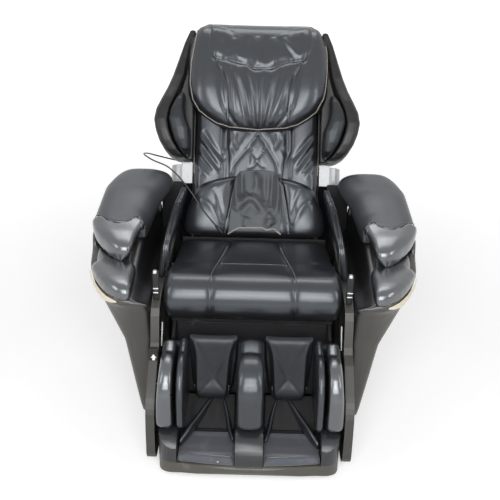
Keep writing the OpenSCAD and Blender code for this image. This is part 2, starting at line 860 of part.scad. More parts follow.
// Carriage: rear plate, shoes round the rails, ears for the kneading shaft and the screw's nut
module massage_carriage() {
    color("#6a6a6e") in_carriage() {
        difference() {
            block([-150, 98, -56], [150, 106, 56]);
            for (x = [-75, 75]) translate([x, 108, -34]) rotate([90, 0, 0]) cylinder(r = 14, h = 12);
        }
        for (side = [-1, 1]) mirror([side < 0 ? 1 : 0, 0, 0]) {
            for (z = [-52, 28]) difference() {
                block([120, 58, z], [152, 99, z + 24]);
                block([rail_x[0] - 0.6, rail_y[0] - 0.6, z - 1], [rail_x[1] + 0.6, rail_y[1] + 0.6, z + 25]);
            }
            difference() {
                union() {
                    block([102, knead_y, -14], [114, 99, 14]);
                    cross_rod(14, 102, 114, knead_y, 0);
                }
                cross_rod(knead_r + run_gap, 101, 115, knead_y, 0);
            }
        }
        difference() {
            union() {
                translate([0, screw_y, -30]) cylinder(r = 13, h = 60);
                block([-13, 105, -30], [13, screw_y, 30]);
            }
            translate([0, screw_y, -31]) cylinder(r = screw_r + run_gap, h = 62);
        }
    }
}

module kneading_motor() {
    color("#3c3c40") in_carriage() {
        cross_rod(16, 34, 118, 123, -30);
        cross_rod(18, 34, 46, 124, -30);
        block([60, 106, -46], [100, 112, -14]);
    }
}

// Shaft with its drive gear and the collars that carry the roller arms
module kneading_shaft() {
    color("silver") in_carriage() {
        cross_rod(knead_r, -118, 118, knead_y, 0);
        difference() {
            cross_rod(13, -8, 8, knead_y, 0);
            for (a = [0 : 30 : 330])
                translate([-9, knead_y + 13.5 * cos(a), 13.5 * sin(a)]) rotate([0, 90, 0]) cylinder(r = 2, h = 18);
        }
    }
}

// Boomerang arm on the kneading shaft, with a pin for a roller at each tip
module roller_arm() {
    in_carriage() {
        difference() {
            side_plate(arm_plate_x[0], arm_plate_x[1]) union() {
                translate([knead_y, 0]) circle(r = 13);
                for (side = [-1, 1]) {
                    polygon([
                        [knead_y + 10, side * 7], [knead_y - 15, side * -4],
                        [roller_y - 9, side * (roller_reach - 3)], [roller_y + 9, side * (roller_reach + 3)]
                    ]);
                    translate([roller_y, side * roller_reach]) circle(r = 10);
                }
            }
            cross_rod(knead_r + run_gap, arm_plate_x[0] - 1, arm_plate_x[1] + 1, knead_y, 0);
        }
        for (side = [-1, 1]) {
            cross_rod(roller_pin_r, arm_plate_x[1] - 1, roller_x[1] + 4, roller_y, side * roller_reach);
            cross_rod(9, roller_x[1] + 1, roller_x[1] + 4, roller_y, side * roller_reach);
        }
    }
}

module left_roller_arm() {
    color("#55555a") mirror([1, 0, 0]) roller_arm();
}

module right_roller_arm() {
    color("#55555a") roller_arm();
}

module roller(side) {
    mid = (roller_x[0] + roller_x[1]) / 2;
    half = (roller_x[1] - roller_x[0]) / 2;
    in_carriage() translate([mid, roller_y, side * roller_reach]) rotate([0, 90, 0])
        rotate_extrude($fn = 64) polygon(concat(
            [[roller_pin_r + run_gap, -half], [14, -half], [15, -half + 5], [20, -half + 5]],
            arc([roller_r - 9, -half + 9], 9, -90, -10, 5),
            arc([roller_r - 9, half - 9], 9, 10, 90, 5),
            [[20, half - 5], [15, half - 5], [14, half], [roller_pin_r + run_gap, half]]
        ));
}

module upper_left_roller() {
    color("#b9b4a6") mirror([1, 0, 0]) roller(1);
}

module lower_left_roller() {
    color("#b9b4a6") mirror([1, 0, 0]) roller(-1);
}

module upper_right_roller() {
    color("#b9b4a6") roller(1);
}

module lower_right_roller() {
    color("#b9b4a6") roller(-1);
}

// Upholstered back with a centre panel between two long seams.
// Stations: [height, half width, front face]
back_stations = [
    [cover_low, 205, -28], [cover_low + 8, 214, -36], [90, back_hw, -38], [180, back_hw, -37],
    [290, back_hw, -34], [380, back_hw - 1, -31], [470, back_hw - 3, -28], [560, back_hw - 6, -25],
    [650, back_hw - 10, -22], [720, back_hw - 16, -20], [770, back_hw - 24, -18],
    [800, back_hw - 34, -12], [back_top, back_hw - 44, 0]
];
back_front = [
    [1, 14, 0], [0.97, 4, 0], [0.86, 0, -3], [0.72, 0, -5], [0.58, 0, -2], [0.5, 0, 5], [0.42, 0, -2],
    [0.22, 0, -5]
];
back_rear_y = 18;

function back_ring(s) =
    let (across = concat(
        [for (f = back_front) [-f[0], f[1], f[2]]],
        [[0, 0, -6]],
        [for (i = [len(back_front) - 1 : -1 : 0]) back_front[i]]
    ))
    concat(
        [for (f = across) [f[0] * s[1], min(back_rear_y - 2, s[2] + f[1] + f[2]), s[0]]],
        [[s[1] - 4, back_rear_y, s[0]], [-s[1] + 4, back_rear_y, s[0]]]
    );

module back_cover() {
    color("#1b1b1d") in_back() loft([for (s = back_stations) back_ring(s)]);
}

// Lumbar pad with an arched top and a bolster on each side: [height, half width, thickness]
lumbar_stations = [
    [74, 222, 8], [80, 234, 20], [107, 242, 26], [150, 236, 28], [195, 219, 28], [230, 205, 27],
    [250, 182, 25], [266, 140, 21], [277, 92, 16], [285, 44, 8]
];
lumbar_across = [[1, 0.35], [0.93, 0.8], [0.8, 1.05], [0.65, 1.12], [0.52, 1], [0.44, 0.86], [0.25, 0.92]];
lumbar_back_y = -45;

function lumbar_ring(s) =
    let (across = concat(
        [for (f = lumbar_across) [-f[0], f[1]]],
        [[0, 0.94]],
        [for (i = [len(lumbar_across) - 1 : -1 : 0]) lumbar_across[i]]
    ))
    concat(
        [for (f = across) [f[0] * s[1], lumbar_back_y - s[2] * f[1], s[0]]],
        [[s[1] - 3, lumbar_back_y, s[0]], [-s[1] + 3, lumbar_back_y, s[0]]]
    );

module lumbar_pad() {
    color("#1b1b1d") in_back() loft([for (s = lumbar_stations) lumbar_ring(s)]);
}

// Hanging flap over the middle of the lumbar pad, with its main folds
flap_hw = 90;
flap_low = 80;
flap_high = 262;
flap_t = 3;
flap_rows = 10;
flap_cols = 16;

function flap_wave(u, v) = 3.2 * sin(360 * (2.5 * u + 0.3 * v)) * (0.35 + 0.65 * (1 - v));
function flap_front(v) = -79 + 2 * v;

module lumbar_flap() {
    color("#1b1b1d") in_back() loft([
        for (j = [0 : flap_rows])
            let (v = j / flap_rows, hw = flap_hw * (1 - 0.12 * v))
            concat(
                [for (i = [0 : flap_cols]) let (u = i / flap_cols)
                    [hw * (2 * u - 1), flap_front(v) - flap_t + flap_wave(u, v), flap_low + (flap_high - flap_low) * v]],
                [for (i = [flap_cols : -1 : 0]) let (u = i / flap_cols)
                    [hw * (2 * u - 1), flap_front(v) + flap_wave(u, v), flap_low + (flap_high - flap_low) * v]]
            )
    ]);
}

// Head pillow: [height, half width, front face]
pillow_stations = [
    [pillow_low, 48, -50], [pillow_low + 7, 94, -60], [pillow_low + 20, 134, -68],
    [pillow_low + 40, 168, -76], [pillow_low + 64, 202, -82], [pillow_low + 98, 229, -85],
    [570, pillow_hw - 2, -86], [610, pillow_hw, -84], [660, pillow_hw, -78], [710, pillow_hw - 3, -70],
    [745, pillow_hw - 11, -64], [770, pillow_hw - 20, -59], [800, pillow_hw - 36, -47],
    [back_top + 6, pillow_hw - 62, -30]
];
pillow_across = [[1, 0], [0.985, 0.45], [0.93, 0.8], [0.84, 0.96], [0.72, 1.02], [0.6, 0.98], [0.52, 0.86],
    [0.44, 0.99], [0.22, 1.04]];
cover_faces = [for (s = back_stations) [s[0], s[2] - 6.4]];

function pillow_ring(s) =
    let (across = concat(
        [for (f = pillow_across) [-f[0], f[1]]],
        [[0, 1.05]],
        [for (i = [len(pillow_across) - 1 : -1 : 0]) pillow_across[i]]
    ), rear = lookup(s[0], cover_faces), deep = rear - 4 - s[2])
    concat(
        [for (f = across) [f[0] * s[1], rear - 4 - deep * f[1], s[0]]],
        [[s[1] - 8, rear, s[0]], [-s[1] + 8, rear, s[0]]]
    );

module head_pillow() {
    color("#1b1b1d") in_back() loft([for (s = pillow_stations) pillow_ring(s)]);
}

// Plan of the cover that curves round the back's side above the arm
module side_cover_plan() {
    polygon([[258, -6], [266, -5], [277, -1], [287, 8], [294, 20], [298, 36], [298, 58], [258, 96]]);
}

module back_side_covers() {
    color("#5a5a5e") in_back() pair() {
        difference() {
            translate([0, 0, 240]) linear_extrude(82) side_cover_plan();
            translate([0, 0, 244]) linear_extrude(74) offset(delta = -4) side_cover_plan();
        }
        difference() {
            side_plate(back_hw + 2, 258) polygon(concat(
                [[-6, 64], [120, 64]], arc([130, 84], 20, -90, 0, 4), arc([90, 280], 50, 0, 90, 5), [[-6, 330]]
            ));
            side_plate(back_hw + 1, 254) polygon([[0, 70], [124, 70], [142, 88], [130, 286], [88, 324], [0, 324]]);
        }
    }
}

// Shoulder shell: a plate on the back's side with a lip that comes forward at its outer edge.
// Stations: [height, outer x, lip's inner x, front of the lip]
wing_stations = [
    [336, 280, 236, -62], [342, 295, 250, -76], [360, 312, 266, -90], [390, 330, 284, -100],
    [425, 343, 297, -106], [462, 350, 304, -106], [500, 344, 298, -100], [540, 328, 284, -86],
    [580, 312, 270, -66], [630, 296, 256, -44], [690, 279, 248, -30], [750, 260, 240, -27],
    [792, 242, 226, -26]
];
wing_plate_y = [-22, 60];

function wing_ring(s) =
    let (
        x = s[1],
        in = s[2],
        lip = s[3]
    )
    [
        [back_hw + 2, wing_plate_y[0], s[0]], [in - 2, wing_plate_y[0], s[0]],
        [in, lip + 4, s[0]], [in + (x - in) * 0.15, lip, s[0]], [in + (x - in) * 0.75, lip + 1, s[0]],
        [x - 0.5, lip + 14, s[0]], [x, min(30, lip + 60), s[0]], [x - (x - in) * 0.2, 46, s[0]],
        [x - (x - in) * 0.6, wing_plate_y[1], s[0]], [back_hw + 2, wing_plate_y[1], s[0]]
    ];

module shoulder_shells() {
    color("#242426") in_back() pair() loft([for (s = wing_stations) wing_ring(s)]);
}

// Shoulder pad inside the lip: [height, inner x, outer x, front face]
shoulder_stations = [
    [342, 236, 244, -50], [347, 229, 250, -78], [362, 225, 262, -100], [395, 225, 282, -112],
    [430, 226, 294, -118], [462, 240, 302, -118], [498, 249, 295, -112], [536, 250, 278, -98],
    [560, 251, 266, -70]
];
shoulder_sides = 14;

function shoulder_ring(s) =
    let (mid = (s[1] + s[2]) / 2, half = (s[2] - s[1]) / 2, back = wing_plate_y[0] - 1, y = (back + s[3]) / 2)
    [for (i = [0 : shoulder_sides - 1])
        let (p = soft(i * 360 / shoulder_sides, 3.2))
        [mid + half * p[0], y + (back - s[3]) / 2 * p[1], s[0]]];

module shoulder_pads() {
    color("#1b1b1d") in_back() pair() loft([for (s = shoulder_stations) shoulder_ring(s)]);
}

// ---------- legrest ----------

// Side outline of the calf unit's walls, from its rear lower corner
function calf_outline() = concat(
    [[calf_back_y, calf_low]],
    arc([-548, calf_low + 14], 14, 270, 180, 3),
    [[-563, 230]],
    arc([-470, 238], 93, 180, 78, 9),
    [[-400, 342], [-386, 338], [calf_back_y, 326]]
);

// Steel hinge tube, rear sheet and the legrest lever
module calf_frame() {
    color("#232325") {
        difference() {
            union() {
                block([-calf_hw, calf_back_y, calf_low], [calf_hw, calf_back_y + 6, 268]);
                block([-224, calf_back_y, 264], [224, calf_back_y + 6, hinge_z]);
                cross_rod(14, -224, 224, hinge_y, hinge_z);
            }
            pair() cross_rod(hinge_pin_r + run_gap, 190, 226, hinge_y, hinge_z);
        }
        slotted_lever(legrest_x, hinge_y, hinge_z, -90 + legrest_half, legrest_half,
            legrest_pin_drop, 11.5, 8.5, 14);
    }
}

// A padded wall: the calf outline as rings across X, pushed out or drawn in away from the sheet
function calf_ring(x, out) = [
    for (i = [len(calf_outline()) - 1 : -1 : 0])
        let (p = calf_outline()[i], free = p[0] < calf_back_y - 1 ? 1 : 0)
        let (q = push(p, [-455, 235], free * out))
        [x, free == 1 ? q[0] : calf_back_y - 0.5, p[1] <= calf_low ? calf_low : max(calf_low + 0.5, q[1])]
];

// The outer walls end further forward at the top, where they swing past the side frames
function wall_ring(x, out) = [
    for (p = calf_ring(x, out)) [x, min(p[1], lookup(p[2], wall_rear)), p[2]]
];
wall_rear = [[calf_low, calf_back_y - 0.5], [256, calf_back_y - 0.5], [278, -393], [300, -401], [350, -402]];

module calf_walls() {
    mid = (wall_in + calf_hw) / 2;
    half = (calf_hw - wall_in) / 2;
    color("#1b1b1d") pair() difference() {
        loft([for (k = [[-1, -9], [-0.9, -4], [-0.6, 0.5], [0, 2.5], [0.6, 0.5], [0.9, -4], [1, -9]])
            wall_ring(mid + half * k[0], k[1])]);
        translate([rod_at[0], rod_at[1], calf_low - 1]) cylinder(r = rod_r + run_gap, h = 154);
    }
}

// Mirror-symmetric stations across one pad: [place across, pushed out]
function pad_rings(x0, x1) = [
    for (k = [[0, -12], [0.06, -4], [0.22, 1.5], [0.5, 3.5], [0.78, 1.5], [0.94, -4], [1, -12]])
        calf_ring(x0 + (x1 - x0) * k[0], k[1])
];

module calf_side_pads() {
    color("#1b1b1d") pair() loft(pad_rings(pad_in, pad_out));
}

module calf_divider() {
    color("#1b1b1d") loft(pad_rings(-divider_hw, divider_hw));
}

// Calf pad at the rear of a channel, thicker and narrower at the bottom: [height, thickness, drawn in]
calf_pad_stations = [
    [148, 26, 34], [152, 44, 25], [163, 54, 19], [185, 57, 13], [220, 50, 7], [262, 39, 2], [300, 29, 0],
    [328, 22, 0], [341, 15, 0], [346, 5, 2]
];
calf_pad_x = [divider_hw + 3, pad_in - 3];

function calf_pad_ring(s) =
    let (x0 = calf_pad_x[0] + s[2], x1 = calf_pad_x[1] - s[2], w = x1 - x0, y = calf_back_y - 0.5)
    concat(
        [[x1 - 2, y, s[0]], [x0 + 2, y, s[0]]],
        [for (k = [[0, 0.55], [0.05, 0.85], [0.18, 0.96], [0.35, 1.04], [0.5, 1.12], [0.65, 1.04], [0.82, 0.96],
            [0.95, 0.85], [1, 0.55]]) [x0 + w * k[0], y - s[1] * k[1], s[0]]]
    );

module calf_pads() {
    color("#1b1b1d") pair() loft([for (s = calf_pad_stations) calf_pad_ring(s)]);
}

// Foot unit: a flat tray, three rounded uprights that part its wells, and the slide rods
function tray_outline() = concat(
    [[-455, 14], [-572, 14], [-597, 22]],
    arc([-592, 40], 14, 195, 90, 5),
    [[-467, 54], [-467, 76], [-455, 76]]
);

// Plan of the foot unit: a bowed front with round corners
foot_corner = 46;
module foot_plan() {
    x = foot_hw - foot_corner;
    polygon(concat(
        [[foot_hw, -440], [-foot_hw, -440]],
        arc([-x, -592 + foot_corner], foot_corner, 180, 260, 6),
        arc([0, -592 + 1200 - 14], 1200, 261, 279, 8),
        arc([x, -592 + foot_corner], foot_corner, 280, 360, 6)
    ));
}

module upright(x0, x1) {
    intersection() {
        cross_rod(foot_cap_r, x0, x1, foot_axis[0], foot_axis[1]);
        block([x0, -620, 40], [x1, -460, 140]);
    }
}

module foot_unit() {
    color("#2c2b27") {
        difference() {
            intersection() {
                union() {
                    side_plate(-foot_hw, foot_hw)
                        polygon([for (i = [len(tray_outline()) - 1 : -1 : 0]) tray_outline()[i]]);
                    upright(-divider_hw - 3, divider_hw + 3);
                    pair() upright(foot_hw - 53, foot_hw);
                }
                linear_extrude(200) foot_plan();
            }
            block([-divider_hw + 4, -560, 10], [divider_hw - 4, -500, 60]);
        }
    }
    color("silver") pair() {
        translate([rod_at[0], rod_at[1], 60]) cylinder(r = rod_r, h = 232);
    }
}

// Padded sole in each well: a dish with a roll at its bowed front edge
sole_x = [42, 200];
function sole_front(x) = -603.5 + x * x / 2400;
function sole_ring(x, drop) = let (f = sole_front(x))
    [for (p = [
        [-470, 54.5], [-470, 72 - drop], [-477, 74 - drop], [-487, 66 - drop * 0.4], [-520, 63], [-555, 65],
        [-571, 73 - drop], [-580, 79 - drop], [-590, 80 - drop], [f + 5, 76 - drop], [f, 67 - drop * 0.5],
        [f, 60], [f + 5, 54.5]
    ]) [x, p[0], p[1]]];

module foot_soles() {
    w = sole_x[1] - sole_x[0];
    color("#3a3f4c") pair() loft([
        for (k = [[1, 9], [0.96, 3], [0.88, 0], [0.5, 0], [0.12, 0], [0.04, 3], [0, 9]])
            sole_ring(sole_x[0] + w * k[0], k[1])
    ]);
}

// ---------- lead ----------

// Route of the lead in the back's frame, from its gland to its connector
lead_route = [
    [-252, 105, 346], [-290, 98, 352], [-345, 70, 360], [-376, 15, 360], [-384, -50, 350], [-375, -98, 336],
    [-346, -104, 318], [-300, -96, 300], [-264, -90, 271], [-238, -87, 242], [-216, -83, 214],
    [-190, -81, 176], [-164, -81, 142], [-142, -81, 117], [-130, -82, 104]
];
lead_step = 13;
lead_sides = 10;
gland_x = back_hw + 2;
gland_at = [105, 346];

// Smooth curve through the route's points
function spline(a, b, c, d, t) =
    0.5 * (2 * b + (c - a) * t + (2 * a - 5 * b + 4 * c - d) * t * t + (3 * b - a - 3 * c + d) * t * t * t);
function smooth(route) = let (n = len(route) - 1) concat([
    for (i = [0 : n - 1])
        let (
            b = route[i], c = route[i + 1],
            a = i == 0 ? 2 * b - c : route[i - 1],
            d = i == n - 1 ? 2 * c - b : route[i + 2],
            parts = max(1, round(norm(c - b) / lead_step))
        )
        each [for (k = [0 : parts - 1]) spline(a, b, c, d, k / parts)]
], [route[n]]);

function unit(v) = v / norm(v);

// Ring of points round a point of the curve, square to its direction
function tube_ring(p, dir, r) =
    let (side = unit(cross(dir, [0.1, 0.2, 1])), up = cross(side, dir))
    [for (i = [0 : lead_sides - 1]) let (a = -360 * i / lead_sides) p + r * (cos(a) * side + sin(a) * up)];

module handset_lead() {
    line = smooth(lead_route);
    n = len(line) - 1;
    color("#0c0c0c") in_back() loft([
        for (i = [0 : n])
            let (dir = unit(i == 0 ? [-1, 0, 0] : i == n ? lead_end_dir() : line[i + 1] - line[i - 1]))
            tube_ring(line[i], dir, lead_d / 2)
    ]);
}

function lead_end_dir() = let (n = len(lead_route) - 1) unit(lead_route[n] - lead_route[n - 1]);

// Gland on the back shell's side, and the connector on the lead's free end
module lead_fittings() {
    end = lead_route[len(lead_route) - 1];
    dir = lead_end_dir();
    color("#141414") in_back() {
        translate([-gland_x, gland_at[0], gland_at[1]]) rotate([0, -90, 0]) {
            cylinder(r = 9, h = 6);
            translate([0, 0, 6]) cylinder(r1 = 7, r2 = 4, h = 252 - gland_x - 6);
        }
        translate(end)
            rotate([0, acos(dir[2]), atan2(dir[1], dir[0])]) {
                cylinder(r1 = 3.5, r2 = 5.5, h = 8);
                translate([0, 0, 8]) cylinder(r = 5.5, h = 18);
                translate([0, 0, 26]) cylinder(r = 3.5, h = 7);
            }
    }
}

floor_runners();
frame_crossbars();
side_frames();
base_tray();
seat_pan();
seat_cushion();
left_base_cover();
right_base_cover();
rear_panel();
rubber_feet();
power_inlet();
rocker_switch();
front_panel();
wheel_forks();
left_wheel();
right_wheel();
air_pump();
control_box();
recline_actuator();
recline_rod();
legrest_actuator();
legrest_rod();
seat_guards();
pivot_pins();
guide_strips();
arm_shells();
arm_hoods();
arm_pads();
hand_pads();
arm_trims();
back_frame();
back_shell();
guide_rails();
lift_screw();
screw_motor();
massage_carriage();
kneading_motor();
kneading_shaft();
left_roller_arm();
right_roller_arm();
upper_left_roller();
lower_left_roller();
upper_right_roller();
lower_right_roller();
back_cover();
lumbar_pad();
lumbar_flap();
head_pillow();
back_side_covers();
shoulder_shells();
shoulder_pads();
calf_frame();
calf_walls();
calf_side_pads();
calf_divider();
calf_pads();
foot_unit();
foot_soles();
handset_lead();
lead_fittings();
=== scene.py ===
import math

import bmesh
import bpy
import numpy as np
from mathutils import Matrix, Quaternion, Vector
from mathutils.bvhtree import BVHTree


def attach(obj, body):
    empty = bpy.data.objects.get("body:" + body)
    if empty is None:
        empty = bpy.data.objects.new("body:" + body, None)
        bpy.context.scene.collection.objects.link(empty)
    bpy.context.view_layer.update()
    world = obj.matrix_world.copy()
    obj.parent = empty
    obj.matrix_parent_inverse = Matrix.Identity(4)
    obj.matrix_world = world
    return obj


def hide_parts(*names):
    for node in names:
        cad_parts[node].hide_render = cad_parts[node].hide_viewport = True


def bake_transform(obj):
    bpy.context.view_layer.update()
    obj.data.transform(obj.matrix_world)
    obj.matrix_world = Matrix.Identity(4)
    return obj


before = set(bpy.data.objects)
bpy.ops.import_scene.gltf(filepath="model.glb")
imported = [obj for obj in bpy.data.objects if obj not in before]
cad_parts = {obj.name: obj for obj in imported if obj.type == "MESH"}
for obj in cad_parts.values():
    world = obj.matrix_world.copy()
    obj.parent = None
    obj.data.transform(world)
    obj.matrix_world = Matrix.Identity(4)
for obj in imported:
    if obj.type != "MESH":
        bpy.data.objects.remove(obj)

scene = bpy.context.scene
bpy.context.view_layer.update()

# looks down by "down" over "ahead"; turn and roll are in degrees
cameraValues = {"place": (-0.0005, -2.3, 1.5), "ahead": 2.4, "down": 1.1, "turn": 0.3, "roll": 1.3,
                "lens": 36.0 * 768 / 500, "sensor": 36.0, "reach": 120.0}


def makeCamera(v):
    data = bpy.data.cameras.new("viewCamera")
    data.lens = v["lens"]
    data.sensor_width = v["sensor"]
    data.clip_end = v["reach"]
    pitch = math.atan2(v["down"], v["ahead"])
    turn = math.radians(v["turn"])
    forward = Vector((-math.sin(turn) * math.cos(pitch), math.cos(turn) * math.cos(pitch), -math.sin(pitch)))
    camera = bpy.data.objects.new("viewCamera", data)
    camera.location = v["place"]
    camera.rotation_mode = "QUATERNION"
    camera.rotation_quaternion = forward.to_track_quat("-Z", "Y") @ Quaternion((0, 0, 1), math.radians(v["roll"]))
    scene.collection.objects.link(camera)
    scene.camera = camera


makeCamera(cameraValues)
print("camera ready")

# the back's own frame: x across, y rearward, z up along the back from the recline pivot
backMatrix = Matrix.Translation((0, 0.12, 0.36)) @ Matrix.Rotation(math.radians(-27), 4, "X")


def toArray(points):
    return np.array(points, float)


def newPiece(name, verts, faces, material, smooth=True):
    mesh = bpy.data.meshes.new(name)
    mesh.from_pydata([tuple(p) for p in verts], [], [tuple(int(i) for i in f) for f in faces])
    mesh.validate()
    piece = bpy.data.objects.new(name, mesh)
    scene.collection.objects.link(piece)
    mesh.materials.append(material)
    mesh.polygons.foreach_set("use_smooth", [smooth] * len(mesh.polygons))
    return piece


def getPoints(piece):
    co = np.empty(len(piece.data.vertices) * 3)
    piece.data.vertices.foreach_get("co", co)
    return co.reshape(-1, 3)


def setPoints(piece, co):
    piece.data.vertices.foreach_set("co", co.reshape(-1))
    piece.data.update()


def getNormals(piece):
    n = np.empty(len(piece.data.vertices) * 3)
    piece.data.vertex_normals.foreach_get("vector", n)
    return n.reshape(-1, 3)


def bake(piece):
    # the piece's modifiers become its mesh
    graph = bpy.context.evaluated_depsgraph_get()
    mesh = bpy.data.meshes.new_from_object(piece.evaluated_get(graph))
    piece.modifiers.clear()
    piece.data = mesh
    mesh.polygons.foreach_set("use_smooth", [True] * len(mesh.polygons))
    return piece


def refine(piece):
    sub = piece.modifiers.new("refine", "SUBSURF")
    sub.levels = sub.render_levels = 1
    return bake(piece)


def thicken(piece, thickness):
    # cloth or hide of the given thickness
    piece.modifiers.new("thick", "SOLIDIFY").thickness = thickness
    return bake(piece)


def outward(piece, weld=0.0):
    bm = bmesh.new()
    bm.from_mesh(piece.data)
    if weld:
        bmesh.ops.remove_doubles(bm, verts=bm.verts, dist=weld)
    bmesh.ops.recalc_face_normals(bm, faces=bm.faces)
    bm.to_mesh(piece.data)
    bm.free()
    return piece


def gridFaces(rows, cols, wrap=False, start=0, flip=False):
    r = np.arange(rows - 1)[:, None]
    c = np.arange(cols if wrap else cols - 1)[None, :]
    a, b = r * cols + c, r * cols + (c + 1) % cols
    quads = [a, a + cols, b + cols, b] if flip else [a, b, b + cols, a + cols]
    return np.stack(quads, -1).reshape(-1, 4) + start


def tubeFaces(rings, sides):
    # faces of a tube with both ends closed
    ends = [tuple(range(sides))[::-1], tuple((rings - 1) * sides + i for i in range(sides))]
    return [tuple(f) for f in gridFaces(rings, sides, wrap=True)] + ends


def prismFaces(n):
    # faces between two copies of an outline of n points
    sides = [(i, (i + 1) % n, n + (i + 1) % n, n + i) for i in range(n)]
    return sides + [tuple(range(n))[::-1], tuple(range(n, 2 * n))]


def spread(points, step):
    # a polyline's points again, evenly spaced
    p = toArray(points)
    gaps = np.linalg.norm(np.diff(p, axis=0), axis=1)
    s = np.concatenate([[0], np.cumsum(gaps)])
    n = max(2, int(round(s[-1] / step)) + 1)
    at = np.linspace(0, s[-1], n)
    return np.stack([np.interp(at, s, p[:, k]) for k in range(p.shape[1])], 1)


def curveThrough(points, step):
    # smooth curve through a few points, evenly spaced
    p = toArray(points)
    ends = np.vstack([2 * p[0] - p[1], p, 2 * p[-1] - p[-2]])
    out = []
    for i in range(len(p) - 1):
        a, b, c, d = ends[i:i + 4]
        for t in np.linspace(0, 1, 12, endpoint=False):
            out.append(0.5 * (2 * b + (c - a) * t + (2 * a - 5 * b + 4 * c - d) * t * t
                              + (3 * b - a - 3 * c + d) * t ** 3))
    out.append(p[-1])
    return spread(out, step)


def nearLine(points, line):
    # distance of each point from a polyline, and how far along the line, from 0 to 1
    line = toArray(line)
    best, along = np.full(len(points), 1e9), np.zeros(len(points))
    lengths = np.linalg.norm(np.diff(line, axis=0), axis=1)
    total, done = lengths.sum(), 0.0
    for i, length in enumerate(lengths):
        if length < 1e-9:
            continue
        d = line[i + 1] - line[i]
        t = np.clip(((points - line[i]) @ d) / length ** 2, 0, 1)
        gap = np.linalg.norm(points - line[i] - t[:, None] * d, axis=1)
        closer = gap < best
        best[closer] = gap[closer]
        along[closer] = (done + t[closer] * length) / total
        done += length
    return best, along


def fold(points, line, width, height, fade=0.2):
    # a soft ridge, or a valley where height is negative, that fades towards its ends
    gap, along = nearLine(points, line)
    ends = np.clip(np.minimum(along, 1 - along) / fade, 0, 1)
    return height * np.exp(-(gap / width) ** 2) * np.sqrt(ends)


def seam(points, line, depth, width, pull, reach):
    # a narrow stitched groove in a wider pulled-in valley
    gap, _ = nearLine(points, line)
    return -depth * np.exp(-(gap / width) ** 2) - pull * np.exp(-(gap / reach) ** 2)


def pushOut(piece, heights, facing=None):
    # moves the points along their normals, fully where they face the given way
    n = getNormals(piece)
    if facing is not None:
        heights = heights * np.clip(n @ toArray(facing) * 1.6, 0, 1)
    setPoints(piece, getPoints(piece) + n * heights[:, None])
    return piece


def sweep(points, radius, sides=8, flat=1.0, up=(0.13, 0.21, 1.0)):
    # verts and faces of a tube along points; flat squeezes it along its second axis
    p = toArray(points)
    n = len(p)
    t = np.gradient(p, axis=0)
    t /= np.linalg.norm(t, axis=1)[:, None] + 1e-12
    side = np.cross(t, toArray(up))
    side /= np.linalg.norm(side, axis=1)[:, None] + 1e-12
    top = np.cross(side, t)
    r = np.broadcast_to(toArray(radius), (n,))[:, None]
    rings = [p + r * (math.cos(a) * side + flat * math.sin(a) * top)
             for a in np.arange(sides) * 2 * math.pi / sides]
    verts = np.stack(rings, 1).reshape(-1, 3)
    return verts, tubeFaces(n, sides)


def join(parts):
    # one set of verts and faces from several
    verts, faces, start = [], [], 0
    for v, f in parts:
        verts.append(np.asarray(v))
        faces += [tuple(i + start for i in face) for face in f]
        start += len(v)
    return np.vstack(verts), faces


def piping(name, lines, radius, material, flat=1.0):
    return outward(newPiece(name, *join([sweep(line, radius, flat=flat) for line in lines]), material))


def stitchParts(line, normals, length, gap, radius, lift=0.0003):
    # a run of short threads on the surface along a line
    line, normals = toArray(line), toArray(normals)
    s = np.concatenate([[0], np.cumsum(np.linalg.norm(np.diff(line, axis=0), axis=1))])
    parts, at = [], gap
    while at + length < s[-1]:
        spots = np.array([at, at + length * 0.2, at + length * 0.8, at + length])
        p = np.stack([np.interp(spots, s, line[:, k]) for k in range(3)], 1)
        n = np.stack([np.interp(spots, s, normals[:, k]) for k in range(3)], 1)
        p += n * np.array([-radius, lift, lift, -radius])[:, None]
        parts.append(sweep(p, radius, 5))
        at += length + gap
    return parts


def surfaceOf(piece):
    return BVHTree.FromObject(piece, bpy.context.evaluated_depsgraph_get())


def dropOn(surface, points, direction, lift=0.0, far=0.25):
    # where each point, seen along direction, lands on the surface; points that miss are left out
    d = Vector(direction).normalized()
    hits, normals = [], []
    for p in points:
        start = Vector(p) - d * far
        place, normal, _, _ = surface.ray_cast(start, d, 2 * far)
        if place is not None:
            if normal.dot(d) > 0:
                normal = -normal
            hits.append(place + normal * lift)
            normals.append(normal)
    return toArray(hits), toArray(normals)


def clingTo(surface, points):
    # each point moved to the nearest place on the surface
    return toArray([surface.find_nearest(Vector(p))[0] for p in points])


